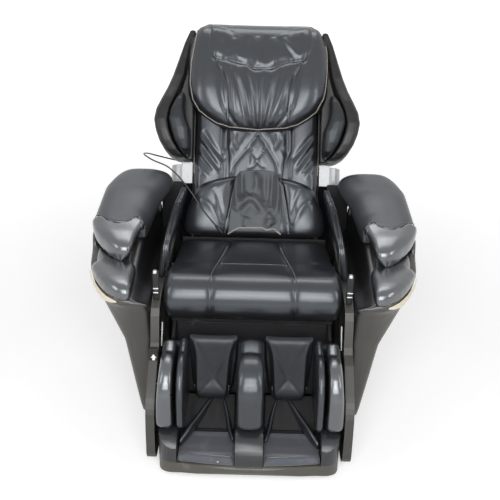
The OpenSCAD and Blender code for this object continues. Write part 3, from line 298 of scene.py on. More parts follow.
def puff(piece, held, pressure, frames, cap):
    # inflates a padded piece as cloth; held is each point's hold from 0, free, to 1, fixed, and cap is the
    # furthest that a point may go
    start = getPoints(piece)
    group = piece.vertex_groups.new(name="held")
    for i in np.nonzero(held > 0.001)[0]:
        group.add([int(i)], float(held[i]), "REPLACE")
    cloth = piece.modifiers.new("puff", "CLOTH")
    s = cloth.settings
    s.quality = 5
    s.mass = 0.25
    s.tension_stiffness = s.compression_stiffness = 18
    s.shear_stiffness = 8
    s.bending_stiffness = 0.4
    s.use_pressure = True
    s.uniform_pressure_force = pressure
    s.vertex_group_mass = "held"
    s.effector_weights.gravity = 0
    cloth.collision_settings.use_collision = False
    cloth.point_cache.frame_start = 1
    cloth.point_cache.frame_end = frames
    for f in range(1, frames + 1):
        scene.frame_set(f)
    graph = bpy.context.evaluated_depsgraph_get()
    shaped = piece.evaluated_get(graph).to_mesh()
    end = np.empty(len(shaped.vertices) * 3)
    shaped.vertices.foreach_get("co", end)
    piece.evaluated_get(graph).to_mesh_clear()
    piece.modifiers.remove(cloth)
    piece.vertex_groups.clear()
    scene.frame_set(1)
    move = end.reshape(-1, 3) - start
    size = np.linalg.norm(move, axis=1)
    move *= (np.minimum(size, cap) / np.maximum(size, 1e-9))[:, None]
    setPoints(piece, start + move)
    return piece


def reskin(piece, voxel, smoothing):
    # one closed skin over the piece's modifiers and solids, smoothed
    skin = piece.modifiers.new("skin", "REMESH")
    skin.mode, skin.voxel_size = "VOXEL", voxel
    relax = piece.modifiers.new("relax", "SMOOTH")
    relax.factor, relax.iterations = 0.5, smoothing
    return bake(piece)


def formFrom(name, node, material, voxel, smoothing, swell):
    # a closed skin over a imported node's solids, with its edges rounded over
    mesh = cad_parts[node].data.copy()
    mesh.materials.clear()
    mesh.materials.append(material)
    piece = bpy.data.objects.new(name, mesh)
    scene.collection.objects.link(piece)
    reskin(piece, voxel, smoothing)
    return pushOut(piece, np.full(len(piece.data.vertices), swell))


def domePad(name, outline, centre, step, face, rear, material, edge, rim=2.2):
    # closed pad over an outline drawn in (x, z): a domed front face and a flatter rear; a higher edge keeps
    # the face full for longer before it turns down at the outline
    outline = spread([*outline, outline[0]], step / 2)[:-1]
    d = outline - toArray(centre)
    angle = np.unwrap(np.arctan2(d[:, 1], d[:, 0]))
    reach = np.linalg.norm(d, axis=1)
    if angle[-1] < angle[0]:
        angle, reach = angle[::-1], reach[::-1]
    angle = np.concatenate([angle - 2 * math.pi, angle, angle + 2 * math.pi])
    reach = np.tile(reach, 3)
    size = outline.max(0) - outline.min(0)
    cols, rows = int(size[0] / step) | 1, int(size[1] / step) | 1
    u, v = np.meshgrid(np.linspace(-1, 1, cols), np.linspace(-1, 1, rows))
    x, z = u * np.sqrt(1 - v * v / 2), v * np.sqrt(1 - u * u / 2)
    r = np.minimum(1, np.hypot(x, z))
    a = np.arctan2(z, x)
    out = np.interp(a, angle, reach) * r
    px, pz = centre[0] + out * np.cos(a), centre[1] + out * np.sin(a)
    puffed = np.power(np.clip(1 - r ** edge, 0, 1), 1 / rim)
    back = rear(px, pz)
    front = back + (face(px, pz) - back) * puffed
    verts = np.vstack([np.stack([px, front, pz], -1).reshape(-1, 3), np.stack([px, back, pz], -1).reshape(-1, 3)])
    n = rows * cols
    faces = np.vstack([gridFaces(rows, cols), gridFaces(rows, cols, start=n, flip=True)])
    return outward(newPiece(name, verts, faces, material), weld=1e-5)


def finishPiece(piece, body, replaces=(), matrix=None):
    if matrix is not None:
        piece.data.transform(matrix)
    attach(piece, body)
    if replaces:
        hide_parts(*replaces)
    return piece


def mirrored(line):
    return toArray(line) * toArray([-1, 1, 1])


def metres(points):
    return toArray(points) * 0.001


def along(table, at, column=1):
    # a table's column, looked up smoothly at each place of its first column
    t = toArray([row[:column + 1] for row in table])
    order = np.argsort(t[:, 0])
    x, y = t[order, 0], t[order, column]
    slope = np.gradient(y, x)
    grow = np.diff(y) / np.diff(x)
    for i in range(1, len(x) - 1):
        slope[i] = 0 if grow[i - 1] * grow[i] <= 0 else 2 * grow[i - 1] * grow[i] / (grow[i - 1] + grow[i])
    slope[0], slope[-1] = grow[0], grow[-1]
    at = np.clip(np.asarray(at, float), x[0], x[-1])
    i = np.clip(np.searchsorted(x, at) - 1, 0, len(x) - 2)
    h = x[i + 1] - x[i]
    s = (at - x[i]) / h
    return ((1 + 2 * s) * (1 - s) ** 2 * y[i] + s * (1 - s) ** 2 * h * slope[i]
            + s * s * (3 - 2 * s) * y[i + 1] + s * s * (s - 1) * h * slope[i + 1])


def flatPoints(piece):
    # across and up only
    return getPoints(piece)[:, [0, 2]]


def outlineOf(stations, count, tip=()):
    # both sides of a pad from its half widths, with an optional point at the top
    right = [(along(stations, t, 1), t) for t in np.linspace(stations[0][0], stations[-1][0], count)]
    return metres(right + [*tip] + [(-x, t) for x, t in right[::-1]])


def smooth(line):
    return curveThrough(metres(line), 0.01)


def workFace(piece, seams, folds, fade=0.2):
    # seams, each a line and its cut, and folds, each a line, a width and a height, on the front of a pad
    at = flatPoints(piece)
    heights = np.zeros(len(at))
    for line, cut in seams:
        heights += seam(at, line, *cut)
    for line, width, height in folds:
        heights += fold(at, smooth(line), width * 0.001, height * 0.001, fade)
    return pushOut(piece, heights, (0, -1, 0))


def node(tree, kind, **inputs):
    made = tree.nodes.new(kind)
    for key, value in inputs.items():
        made.inputs[key.replace("_", " ")].default_value = value
    return made


def group(name, inputs, outputs):
    tree = bpy.data.node_groups.new(name, "ShaderNodeTree")
    for key, value in inputs.items():
        made = tree.interface.new_socket(key, in_out="INPUT", socket_type="NodeSocketFloat")
        made.default_value = value
    for key in outputs:
        tree.interface.new_socket(key, in_out="OUTPUT", socket_type="NodeSocketFloat")
    return tree, tree.nodes.new("NodeGroupInput"), tree.nodes.new("NodeGroupOutput")


def maths(tree, how, a, b):
    made = tree.nodes.new("ShaderNodeMath")
    made.operation = how
    for i, value in enumerate((a, b)):
        if isinstance(value, (int, float)):
            made.inputs[i].default_value = value
        else:
            tree.links.new(value, made.inputs[i])
    return made.outputs[0]


def placeIn(tree, scale):
    # object coordinates, scaled by an input socket
    spot = tree.nodes.new("ShaderNodeTexCoord").outputs["Object"]
    times = tree.nodes.new("ShaderNodeVectorMath")
    times.operation = "SCALE"
    tree.links.new(spot, times.inputs[0])
    tree.links.new(scale, times.inputs["Scale"])
    return times.outputs[0]


def leatherGrain():
    # pebbled hide: small cells with creases between them, and a few longer stretch lines
    tree, given, out = group("leatherGrain", {"Scale": 900.0, "Crease": 0.5, "Pore": 0.3}, ["Height", "Tone"])
    spot = placeIn(tree, given.outputs["Scale"])
    cells = node(tree, "ShaderNodeTexVoronoi", Randomness=1.0)
    cells.feature = "DISTANCE_TO_EDGE"
    cells.inputs["Scale"].default_value = 1.0
    pores = node(tree, "ShaderNodeTexNoise", Scale=2.6, Detail=2.0)
    broad = node(tree, "ShaderNodeTexNoise", Scale=0.012, Detail=3.0, Roughness=0.55)
    for texture in (cells, pores, broad):
        tree.links.new(spot, texture.inputs["Vector"])
    crease = maths(tree, "MULTIPLY", maths(tree, "MINIMUM", cells.outputs["Distance"], 0.28),
                   given.outputs["Crease"])
    pore = maths(tree, "MULTIPLY", pores.outputs["Fac"], given.outputs["Pore"])
    tree.links.new(maths(tree, "ADD", crease, pore), out.inputs["Height"])
    tree.links.new(broad.outputs["Fac"], out.inputs["Tone"])
    return tree


def mouldedGrain():
    # spark-eroded plastic skin, with faint cloudy handling marks
    tree, given, out = group("mouldedGrain", {"Scale": 1400.0, "Cloud": 9.0}, ["Height", "Tone"])
    spot = placeIn(tree, given.outputs["Scale"])
    fine = node(tree, "ShaderNodeTexNoise", Scale=1.0, Detail=3.0, Roughness=0.6)
    tree.links.new(spot, fine.inputs["Vector"])
    cloud = node(tree, "ShaderNodeTexNoise", Detail=4.0, Roughness=0.6)
    tree.links.new(placeIn(tree, given.outputs["Cloud"]), cloud.inputs["Vector"])
    tree.links.new(fine.outputs["Fac"], out.inputs["Height"])
    tree.links.new(cloud.outputs["Fac"], out.inputs["Tone"])
    return tree


def wovenThreads():
    # plain weave from two crossed sets of threads
    tree, given, out = group("wovenThreads", {"Scale": 900.0}, ["Height", "Tone"])
    spot = placeIn(tree, given.outputs["Scale"])
    split = tree.nodes.new("ShaderNodeSeparateXYZ")
    tree.links.new(spot, split.inputs[0])
    across = maths(tree, "SINE", split.outputs["X"], 0)
    along = maths(tree, "SINE", maths(tree, "ADD", split.outputs["Y"], split.outputs["Z"]), 0)
    weave = maths(tree, "MULTIPLY", across, along)
    tree.links.new(maths(tree, "MAXIMUM", maths(tree, "ABSOLUTE", across, 0), maths(tree, "ABSOLUTE", along, 0)),
                   out.inputs["Height"])
    tree.links.new(weave, out.inputs["Tone"])
    return tree


def brushedLines():
    # fine drawn lines along one axis, as on ground or rolled steel
    tree, given, out = group("brushedLines", {"Scale": 60.0}, ["Height", "Tone"])
    spot = placeIn(tree, given.outputs["Scale"])
    stretch = tree.nodes.new("ShaderNodeMapping")
    stretch.inputs["Scale"].default_value = (0.6, 22.0, 22.0)
    tree.links.new(spot, stretch.inputs["Vector"])
    lines = node(tree, "ShaderNodeTexNoise", Scale=1.0, Detail=3.0)
    tree.links.new(stretch.outputs[0], lines.inputs["Vector"])
    tree.links.new(lines.outputs["Fac"], out.inputs["Height"])
    tree.links.new(lines.outputs["Fac"], out.inputs["Tone"])
    return tree


def scuffs():
    # sparse light wear where noise peaks
    tree, given, out = group("scuffs", {"Scale": 20.0, "Amount": 0.35}, ["Mask"])
    spot = placeIn(tree, given.outputs["Scale"])
    patches = node(tree, "ShaderNodeTexNoise", Scale=1.0, Detail=6.0, Roughness=0.68)
    tree.links.new(spot, patches.inputs["Vector"])
    over = maths(tree, "SUBTRACT", patches.outputs["Fac"], maths(tree, "SUBTRACT", 0.92, given.outputs["Amount"]))
    tree.links.new(maths(tree, "MINIMUM", maths(tree, "MAXIMUM", maths(tree, "MULTIPLY", over, 7.0), 0.0), 1.0),
                   out.inputs["Mask"])
    return tree


grainOf = {"leather": leatherGrain(), "moulded": mouldedGrain(), "woven": wovenThreads(), "brushed": brushedLines()}
scuffGroup = scuffs()


def finish(name, colour, light, rough, grain, values=None, bump=0.12, depth=0.0004, worn=0.0, wornColour=None,
           metal=0.0, coat=0.0, coatRough=0.1, specular=0.5, sheen=0.0, roughSpread=0.08, tint=(1, 1, 1),
           coatBend=1.5):
    # a named finish: two tones of one colour, a grain that drives bump and roughness, and light wear
    material = bpy.data.materials.new(name)
    material.use_nodes = True
    tree = material.node_tree
    shader = tree.nodes["Principled BSDF"]
    shader.inputs["Metallic"].default_value = metal
    shader.inputs["Coat Weight"].default_value = coat
    shader.inputs["Coat Roughness"].default_value = coatRough
    shader.inputs["Specular IOR Level"].default_value = specular
    shader.inputs["Sheen Weight"].default_value = sheen
    shader.inputs["Specular Tint"].default_value = (*tint, 1)
    shader.inputs["Coat IOR"].default_value = coatBend
    surface = tree.nodes.new("ShaderNodeGroup")
    surface.node_tree = grainOf[grain]
    for key, value in (values or {}).items():
        surface.inputs[key].default_value = value
    tones = tree.nodes.new("ShaderNodeMix")
    tones.data_type = "RGBA"
    tones.inputs["A"].default_value = (*colour, 1)
    tones.inputs["B"].default_value = (*light, 1)
    tree.links.new(surface.outputs["Tone"], tones.inputs["Factor"])
    shown = tones.outputs["Result"]
    wear = tree.nodes.new("ShaderNodeGroup")
    wear.node_tree = scuffGroup
    wear.inputs["Amount"].default_value = worn
    if worn:
        rubbed = tree.nodes.new("ShaderNodeMix")
        rubbed.data_type = "RGBA"
        tree.links.new(shown, rubbed.inputs["A"])
        rubbed.inputs["B"].default_value = (*(wornColour or light), 1)
        tree.links.new(wear.outputs["Mask"], rubbed.inputs["Factor"])
        shown = rubbed.outputs["Result"]
    tree.links.new(shown, shader.inputs["Base Color"])
    roughness = maths(tree, "ADD", rough - roughSpread / 2,
                      maths(tree, "MULTIPLY", surface.outputs["Tone"], roughSpread))
    tree.links.new(roughness, shader.inputs["Roughness"])
    raised = node(tree, "ShaderNodeBump", Strength=bump, Distance=depth)
    tree.links.new(surface.outputs["Height"], raised.inputs["Height"])
    tree.links.new(raised.outputs["Normal"], shader.inputs["Normal"])
    return material


looks = {
    "gloss": finish("glossHide", (0.010, 0.010, 0.012), (0.019, 0.020, 0.023), 0.30, "leather",
                    {"Scale": 520.0, "Crease": 1.0, "Pore": 0.25}, bump=0.16, depth=0.0005, specular=0.6,
                    coat=0.35, coatRough=0.18, roughSpread=0.10, tint=(0.82, 0.91, 1.0)),
    "bright": finish("brightHide", (0.011, 0.012, 0.014), (0.020, 0.021, 0.024), 0.28, "leather",
                     {"Scale": 520.0, "Crease": 1.0, "Pore": 0.25}, bump=0.12, depth=0.0005, specular=0.7,
                     coat=1.0, coatRough=0.22, roughSpread=0.08, tint=(0.82, 0.91, 1.0), coatBend=1.75),
    # a duller copy of the black hide; its darker base colour is painted shade, for the calf pads, shoulder pads and
    # lumbar flap that sit in shade
    "dullShaded": finish("dullShadedHide", (0.007, 0.007, 0.008), (0.013, 0.014, 0.016), 0.40, "leather",
                   {"Scale": 560.0, "Crease": 1.0, "Pore": 0.3}, bump=0.2, depth=0.0005, specular=0.35,
                   coat=0.12, coatRough=0.3, tint=(0.86, 0.93, 1.0)),
    "matt": finish("mattHide", (0.013, 0.014, 0.016), (0.022, 0.023, 0.026), 0.42, "leather",
                   {"Scale": 620.0, "Crease": 1.1, "Pore": 0.35}, bump=0.22, depth=0.0006, specular=0.75,
                   coat=0.25, coatRough=0.30, tint=(0.86, 0.93, 1.0)),
    "cord": finish("pipingHide", (0.018, 0.019, 0.021), (0.030, 0.031, 0.034), 0.24, "leather",
                   {"Scale": 700.0}, bump=0.12, coat=0.6, coatRough=0.12, specular=1.0, tint=(0.88, 0.94, 1.0)),
    "paleTrim": finish("paleBinding", (0.20, 0.185, 0.165), (0.30, 0.28, 0.25), 0.5, "leather",
                       {"Scale": 900.0}, bump=0.2),
    "thread": finish("greyThread", (0.28, 0.28, 0.28), (0.42, 0.42, 0.42), 0.6, "woven", {"Scale": 4000.0}, bump=0.3),
    "darkCloth": finish("darkLining", (0.004, 0.004, 0.005), (0.010, 0.010, 0.011), 0.85, "woven",
                        {"Scale": 2600.0}, bump=0.4, depth=0.0005),
    "soleCloth": finish("soleMesh", (0.046, 0.052, 0.066), (0.085, 0.094, 0.114), 0.62, "woven",
                        {"Scale": 2200.0}, bump=0.6, depth=0.0007, sheen=0.3, worn=0.36,
                        wornColour=(0.10, 0.105, 0.12)),
    "shell": finish("shellPlastic", (0.012, 0.012, 0.012), (0.018, 0.018, 0.018), 0.34, "moulded", bump=0.05,
                    depth=0.0003, specular=0.25, coat=0.1, coatRough=0.25),
    "armShell": finish("armShellPlastic", (0.030, 0.027, 0.022), (0.042, 0.038, 0.031), 0.36, "moulded", bump=0.05,
                       depth=0.0003, specular=0.6, coat=0.2, coatRough=0.2),
    "base": finish("basePlastic", (0.030, 0.029, 0.026), (0.046, 0.044, 0.040), 0.50, "moulded",
                   {"Scale": 1100.0}, bump=0.12, depth=0.0003, worn=0.34, wornColour=(0.09, 0.088, 0.08)),
    "foot": finish("footPlastic", (0.050, 0.047, 0.039), (0.074, 0.070, 0.058), 0.46, "moulded",
                   {"Scale": 1100.0}, bump=0.1, depth=0.0003, worn=0.36, wornColour=(0.13, 0.125, 0.11)),
    "grey": finish("greyPlastic", (0.34, 0.355, 0.37), (0.44, 0.455, 0.47), 0.26, "moulded", bump=0.04, coat=0.5),
    "champagne": finish("champagneTrim", (0.62, 0.54, 0.41), (0.76, 0.68, 0.54), 0.34, "moulded", bump=0.03,
                        metal=0.35, coat=0.4),
    "white": finish("whitePlastic", (0.78, 0.78, 0.77), (0.90, 0.90, 0.89), 0.45, "moulded", bump=0.05),
    "steel": finish("brightSteel", (0.46, 0.47, 0.49), (0.62, 0.63, 0.65), 0.26, "brushed", bump=0.1, metal=1.0,
                    roughSpread=0.16),
    "frame": finish("powderCoat", (0.012, 0.012, 0.013), (0.021, 0.021, 0.023), 0.48, "moulded",
                    {"Scale": 900.0}, bump=0.25, depth=0.0004, worn=0.33, wornColour=(0.10, 0.10, 0.105),
                    specular=0.3),
    "tray": finish("zincTray", (0.30, 0.31, 0.33), (0.45, 0.46, 0.48), 0.42, "brushed", {"Scale": 14.0}, metal=0.9),
    "motor": finish("motorPaint", (0.06, 0.06, 0.064), (0.10, 0.10, 0.105), 0.45, "moulded", bump=0.15, worn=0.34,
                    wornColour=(0.2, 0.2, 0.21)),
    "ivory": finish("ivoryNylon", (0.56, 0.52, 0.42), (0.68, 0.64, 0.54), 0.38, "moulded", bump=0.06, worn=0.33,
                    wornColour=(0.36, 0.33, 0.27)),
    "rubber": finish("softRubber", (0.014, 0.014, 0.014), (0.028, 0.028, 0.028), 0.75, "moulded",
                     {"Scale": 700.0}, bump=0.25),
    "sheath": finish("leadSheath", (0.010, 0.010, 0.011), (0.018, 0.018, 0.019), 0.36, "moulded", bump=0.04),
    "red": finish("rockerRed", (0.34, 0.020, 0.020), (0.44, 0.040, 0.035), 0.3, "moulded", bump=0.04, coat=0.3),
}


def placeAlong(tree, axis):
    # one object coordinate of the point that is shaded
    split = tree.nodes.new("ShaderNodeSeparateXYZ")
    tree.links.new(tree.nodes.new("ShaderNodeTexCoord").outputs["Object"], split.inputs[0])
    return split.outputs[axis]


def rampOf(tree, value, low, high):
    # 0 at low and 1 at high
    made = tree.nodes.new("ShaderNodeMapRange")
    made.inputs["From Min"].default_value, made.inputs["From Max"].default_value = low, high
    tree.links.new(value, made.inputs["Value"])
    return made.outputs["Result"]


def paintOver(tree, mask, colour):
    # another colour where the mask is 1
    base = tree.nodes["Principled BSDF"].inputs["Base Color"]
    mixed = tree.nodes.new("ShaderNodeMix")
    mixed.data_type = "RGBA"
    tree.links.new(mask, mixed.inputs["Factor"])
    tree.links.new(base.links[0].from_socket, mixed.inputs["A"])
    mixed.inputs["B"].default_value = (*colour, 1)
    tree.links.new(mixed.outputs["Result"], base)


splitValues = {
    # the side covers' lower part, below the edge height, is painted shade: black and without shine
    "cover": {"edge": (0.592, 0.590), "colour": (0.006, 0.006, 0.007), "shine": 0.5},
    "inside": {"edge": (0.1, -0.3), "colour": (0.008, 0.008, 0.009)},
    # heights, colour and roughness: the padded posts, then the rods
    "foot": [((0.0545, 0.0565), (0.022, 0.023, 0.026), 0.3), ((0.131, 0.1318), (0.5, 0.51, 0.53), 0.24)],
}


def coverFinishWithPaintedShade(v):
    # the back's side covers are pale grey on their upper part, their own colour; from the arms down they are painted
    # black and given no shine, as painted shade behind the arms
    tree = looks["grey"].node_tree
    mask = rampOf(tree, placeAlong(tree, "Z"), *v["edge"])
    paintOver(tree, mask, v["colour"])
    pale = maths(tree, "MULTIPLY", maths(tree, "SUBTRACT", 1.0, mask), v["shine"])
    for name in ("Specular IOR Level", "Coat Weight"):
        tree.links.new(pale, tree.nodes["Principled BSDF"].inputs[name])


def insideFinish(v):
    # the arm shells are brown outside and near black on the sides that face the seat
    tree = looks["armShell"].node_tree
    facing = tree.nodes.new("ShaderNodeSeparateXYZ")
    tree.links.new(tree.nodes.new("ShaderNodeNewGeometry").outputs["Normal"], facing.inputs[0])
    inward = maths(tree, "MULTIPLY", maths(tree, "SIGN", placeAlong(tree, "X"), 0), facing.outputs["X"])
    paintOver(tree, rampOf(tree, inward, *v["edge"]), v["colour"])


def footFinish(v):
    # one moulding: olive tray below, dark padded posts above it, bright rods at the top
    tree = looks["foot"].node_tree
    shader = tree.nodes["Principled BSDF"]
    for edge, colour, rough in v:
        mask = rampOf(tree, placeAlong(tree, "Z"), *edge)
        paintOver(tree, mask, colour)
        before = shader.inputs["Roughness"].links[0].from_socket
        less = maths(tree, "MULTIPLY", before, maths(tree, "SUBTRACT", 1.0, mask))
        tree.links.new(maths(tree, "ADD", less, maths(tree, "MULTIPLY", mask, rough)), shader.inputs["Roughness"])
    tree.links.new(mask, shader.inputs["Metallic"])


footFinish(splitValues["foot"])
insideFinish(splitValues["inside"])
coverFinishWithPaintedShade(splitValues["cover"])
print("finishes ready")

nodeLooks = {
    "frame": "floor_runners side_frames frame_crossbars seat_pan wheel_forks back_frame calf_frame front_panel",
    "tray": "base_tray",
    "base": "left_base_cover right_base_cover",
    "shell": "rear_panel power_inlet back_shell lead_fittings",
    "rubber": "rubber_feet left_wheel right_wheel",
    "motor": "air_pump control_box recline_actuator legrest_actuator screw_motor kneading_motor "
             "left_roller_arm right_roller_arm",
    "steel": "recline_rod legrest_rod pivot_pins guide_rails lift_screw massage_carriage kneading_shaft",
    "ivory": "upper_left_roller lower_left_roller upper_right_roller lower_right_roller",
    "white": "guide_strips",
    "champagne": "arm_trims",
    "grey": "back_side_covers",
    "red": "rocker_switch",
    "sheath": "handset_lead",
    "foot": "foot_unit",
}
# solids whose moulded edges are broken: width in millimetres
edgeValues = {"left_base_cover": 1.2, "right_base_cover": 1.2, "rear_panel": 1.2, "front_panel": 1.2,
              "back_shell": 1.6, "back_side_covers": 1.5, "foot_unit": 4.0, "wheel_forks": 1.0, "side_frames": 0.8,
              "back_frame": 1.0, "calf_frame": 1.2, "seat_pan": 1.0, "air_pump": 1.0, "control_box": 1.2,
              "massage_carriage": 1.0}


def breakEdges(cadNode, width):
    weld = cadNode.modifiers.new("weld", "WELD")
    weld.merge_threshold = 1e-5
    edge = cadNode.modifiers.new("edge", "BEVEL")
    edge.width = width * 0.001
    edge.segments = 3
    edge.limit_method = "ANGLE"
    edge.angle_limit = math.radians(38)
    edge.harden_normals = True


for look, names in nodeLooks.items():
    for name in names.split():
        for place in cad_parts[name].material_slots:
            place.material = looks[look]
for name, width in edgeValues.items():
    breakEdges(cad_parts[name], width)


# route in the back's frame, in millimetres, from the gland to the connector
leadValues = {"diameter": 0.005, "step": 0.005, "route": [
    (-252, 105, 346), (-290, 98, 352), (-345, 70, 360), (-376, 15, 360), (-384, -50, 350), (-375, -98, 336),
    (-346, -104, 318), (-300, -96, 300), (-264, -90, 271), (-238, -87, 242), (-216, -83, 214), (-190, -81, 176),
    (-164, -81, 142), (-142, -81, 117), (-130, -82, 104)]}


def makeLead(v):
    line = [backMatrix @ Vector(p) for p in curveThrough(metres(v["route"]), v["step"])]
    piece = outward(newPiece("handsetLead", *sweep(line, v["diameter"] / 2, 12), looks["sheath"]))
    finishPiece(piece, "backrest", ["handset_lead"])


makeLead(leadValues)

# the back cover in millimetres: height, half width, depth of the face
backStations = [
    (60, 205, -28), (68, 214, -36), (90, 219, -38), (180, 219, -37), (290, 219, -34), (380, 218, -31),
    (470, 216, -28), (560, 213, -25), (650, 209, -22), (720, 203, -20), (770, 195, -18), (800, 185, -12),
    (812, 175, 0)]
pillowValues = {
    "stations": [
        (434, 48, -50), (441, 94, -60), (454, 134, -68), (474, 168, -76), (498, 202, -82), (532, 229, -85),
        (570, 242, -86), (610, 244, -84), (660, 244, -78), (710, 241, -70), (745, 233, -64), (770, 224, -59),
        (800, 208, -47), (818, 182, -30)],
    "across": [(0, 1.05), (0.22, 1.04), (0.44, 0.99), (0.52, 0.86), (0.6, 0.98), (0.72, 1.02), (0.84, 0.96),
               (0.93, 0.8), (0.985, 0.45), (1, 0.2)],
    "step": 0.0055, "count": 70, "centre": (0, 0.63), "edge": 9.0, "behind": 10.4,
    "puff": {"pressure": 5, "frames": 14, "cap": 0.010},
    # cuts: depth and width of the groove, depth and reach of the pull
    "seamCut": (0.0035, 0.003, 0.003, 0.013), "crossCut": (0.004, 0.003, 0.005, 0.012),
    "seams": [
        [(-172, 812), (-160, 722), (-149, 687), (-123, 629), (-109, 585), (-104, 533), (-98, 446)],
        [(187, 812), (178, 730), (155, 684), (132, 635), (116, 590), (110, 539), (105, 450)]],
    "crossSeam": [(-149, 687), (-114, 678), (-63, 665), (-36, 659), (-15, 646), (13, 646), (40, 647), (53, 651),
                  (90, 669), (124, 677), (155, 684)],
    # ridges and valleys: line, width and height
    "folds": [
        ([(-4, 762), (-6, 715), (-2, 655)], 10, 2.6), ([(27, 766), (24, 712), (26, 656)], 9, -3),
        ([(50, 760), (56, 712), (50, 655)], 10, 2.6), ([(81, 756), (108, 728), (141, 690)], 9, 2.5),
        ([(64, 760), (92, 726), (122, 690)], 8, -2), ([(-36, 764), (-48, 718), (-38, 664)], 10, -2),
        ([(-88, 754), (-86, 718), (-62, 672)], 11, 2), ([(-120, 750), (-122, 718), (-104, 684)], 10, -1.6),
        ([(-89, 640), (-83, 540), (-72, 464)], 9, 3.2), ([(-93, 650), (-62, 560), (-38, 452)], 7, -3.4),
        ([(-70, 652), (-42, 560), (-18, 452)], 7, 3.2), ([(-44, 652), (-22, 560), (-6, 450)], 6, -3.6),
        ([(-8, 640), (-2, 550), (2, 448)], 8, 3), ([(22, 640), (16, 560), (12, 450)], 6, -3.6),
        ([(50, 644), (38, 560), (22, 452)], 7, 3.2), ([(76, 650), (56, 560), (30, 456)], 7, -3),
        ([(105, 640), (80, 550), (44, 458)], 9, 3)],
    "piping": [(-207, 806), (-215, 783), (-223, 720), (-231, 668), (-233, 599), (-222, 540), (-200, 504), (-172, 482),
               (-138, 461), (-92, 448), (0, 441), (92, 448), (138, 461), (172, 482), (202, 506), (226, 552),
               (233, 590), (237, 645), (236, 714), (229, 762), (218, 800)],
}


def crossedFace(stations, shape, rearAt):
    # front face of a pad whose depth changes along it and across it
    def face(x, t):
        t = t * 1000
        part = np.abs(x) * 1000 / along(stations, t, 1)
        rear = rearAt(t)
        return (rear - (rear - along(stations, t, 2)) * along(shape, part)) * 0.001
    return face


def makePillow(v):
    rearAt = lambda t: along(backStations, t, 2) - v["behind"]
    piece = domePad("headPillow", outlineOf(v["stations"], v["count"]), v["centre"], v["step"],
                    crossedFace(v["stations"], v["across"], rearAt), lambda x, t: rearAt(t * 1000) * 0.001,
                    looks["gloss"], v["edge"])
    at = flatPoints(piece)
    held = np.zeros(len(at))
    for line in v["seams"] + [v["crossSeam"]]:
        gap, _ = nearLine(at, metres(line))
        held = np.maximum(held, np.exp(-(gap / 0.010) ** 2))
    held[getNormals(piece)[:, 1] > -0.05] = 1  # the rear stays put
    puff(piece, held, **v["puff"])
    refine(piece)
    cuts = [(smooth(line), v["seamCut"]) for line in v["seams"]] + [(smooth(v["crossSeam"]), v["crossCut"])]
    workFace(piece, cuts, v["folds"])
    finishPiece(piece, "backrest", ["head_pillow"])
    surface = surfaceOf(piece)
    line, _ = dropOn(surface, [(x, -0.15, t) for x, t in spread(metres(v["piping"]), 0.006)], (0, 1, 0), 0.0008)
    trim = piping("pillowPiping", [line], 0.0020, looks["paleTrim"])
    piece.data.transform(backMatrix)
    finishPiece(trim, "backrest", matrix=backMatrix)
    print("pillow ready")


makePillow(pillowValues)

coverValues = {
    "across": [(0, -6), (0.22, -5), (0.42, -2), (0.5, 5), (0.58, -2), (0.72, -5), (0.86, -3), (0.97, 4), (1, 14)],
    "rear": 18, "step": 0.006, "count": 120, "centre": (0, 0.44), "edge": 26.0, "fade": 0.3,
    "seamCut": (0.003, 0.0028, 0.003, 0.010), "veeCut": (0.0024, 0.0024, 0.0018, 0.008),
    "crossCut": (0.0015, 0.002, 0.0015, 0.006),
    "seams": [[(-100, 812), (-106, 423), (-101, 371), (-96, 301), (-90, 70)],
              [(104, 812), (116, 418), (110, 359), (98, 299), (90, 70)]],
    "vee": [[(5, 430), (-22, 390), (-56, 348), (-79, 316), (-84, 290)],
            [(5, 430), (33, 391), (58, 350), (73, 323), (80, 290)]],
    "folds": [
        ([(-186, 440), (-150, 385), (-110, 335)], 8, -4), ([(-205, 425), (-160, 370), (-116, 316)], 8, 3),
        ([(-195, 402), (-160, 350), (-123, 300)], 7, -3.5), ([(-208, 385), (-172, 332), (-130, 288)], 8, 3),
        ([(-204, 360), (-178, 326), (-151, 299)], 7, -3), ([(-212, 330), (-190, 302), (-160, 272)], 8, 2.5),
        ([(201, 440), (160, 388), (124, 341)], 8, -4), ([(210, 424), (170, 372), (128, 318)], 8, 3),
        ([(205, 408), (170, 355), (139, 306)], 7, -3.5), ([(212, 388), (180, 336), (144, 288)], 8, 3),
        ([(213, 370), (188, 330), (166, 300)], 7, -3), ([(215, 340), (192, 306), (168, 274)], 8, 2.5),
        ([(-90, 440), (-84, 410), (-92, 380), (-82, 350), (-92, 318)], 6, 2.4),
        ([(-72, 436), (-76, 404), (-66, 372)], 6, -2.4),
        ([(84, 440), (92, 408), (82, 378), (92, 348), (84, 318)], 6, 2.4),
        ([(70, 436), (74, 402), (64, 374)], 6, -2.4), ([(-30, 430), (-44, 400), (-62, 374)], 9, 1.6),
        ([(38, 432), (50, 402), (62, 378)], 9, 1.6), ([(-14, 404), (-12, 360), (-16, 316)], 9, 1.4),
        ([(20, 404), (18, 360), (20, 316)], 9, 1.4)],
    "crosses": [[(-22, 379), (3, 341), (30, 380)], [(-13, 313), (3, 334), (25, 314)], [(-25, 372), (-24, 309)]],
    "binding": [(219, 290), (222, 340), (223, 400), (221, 440)],
}


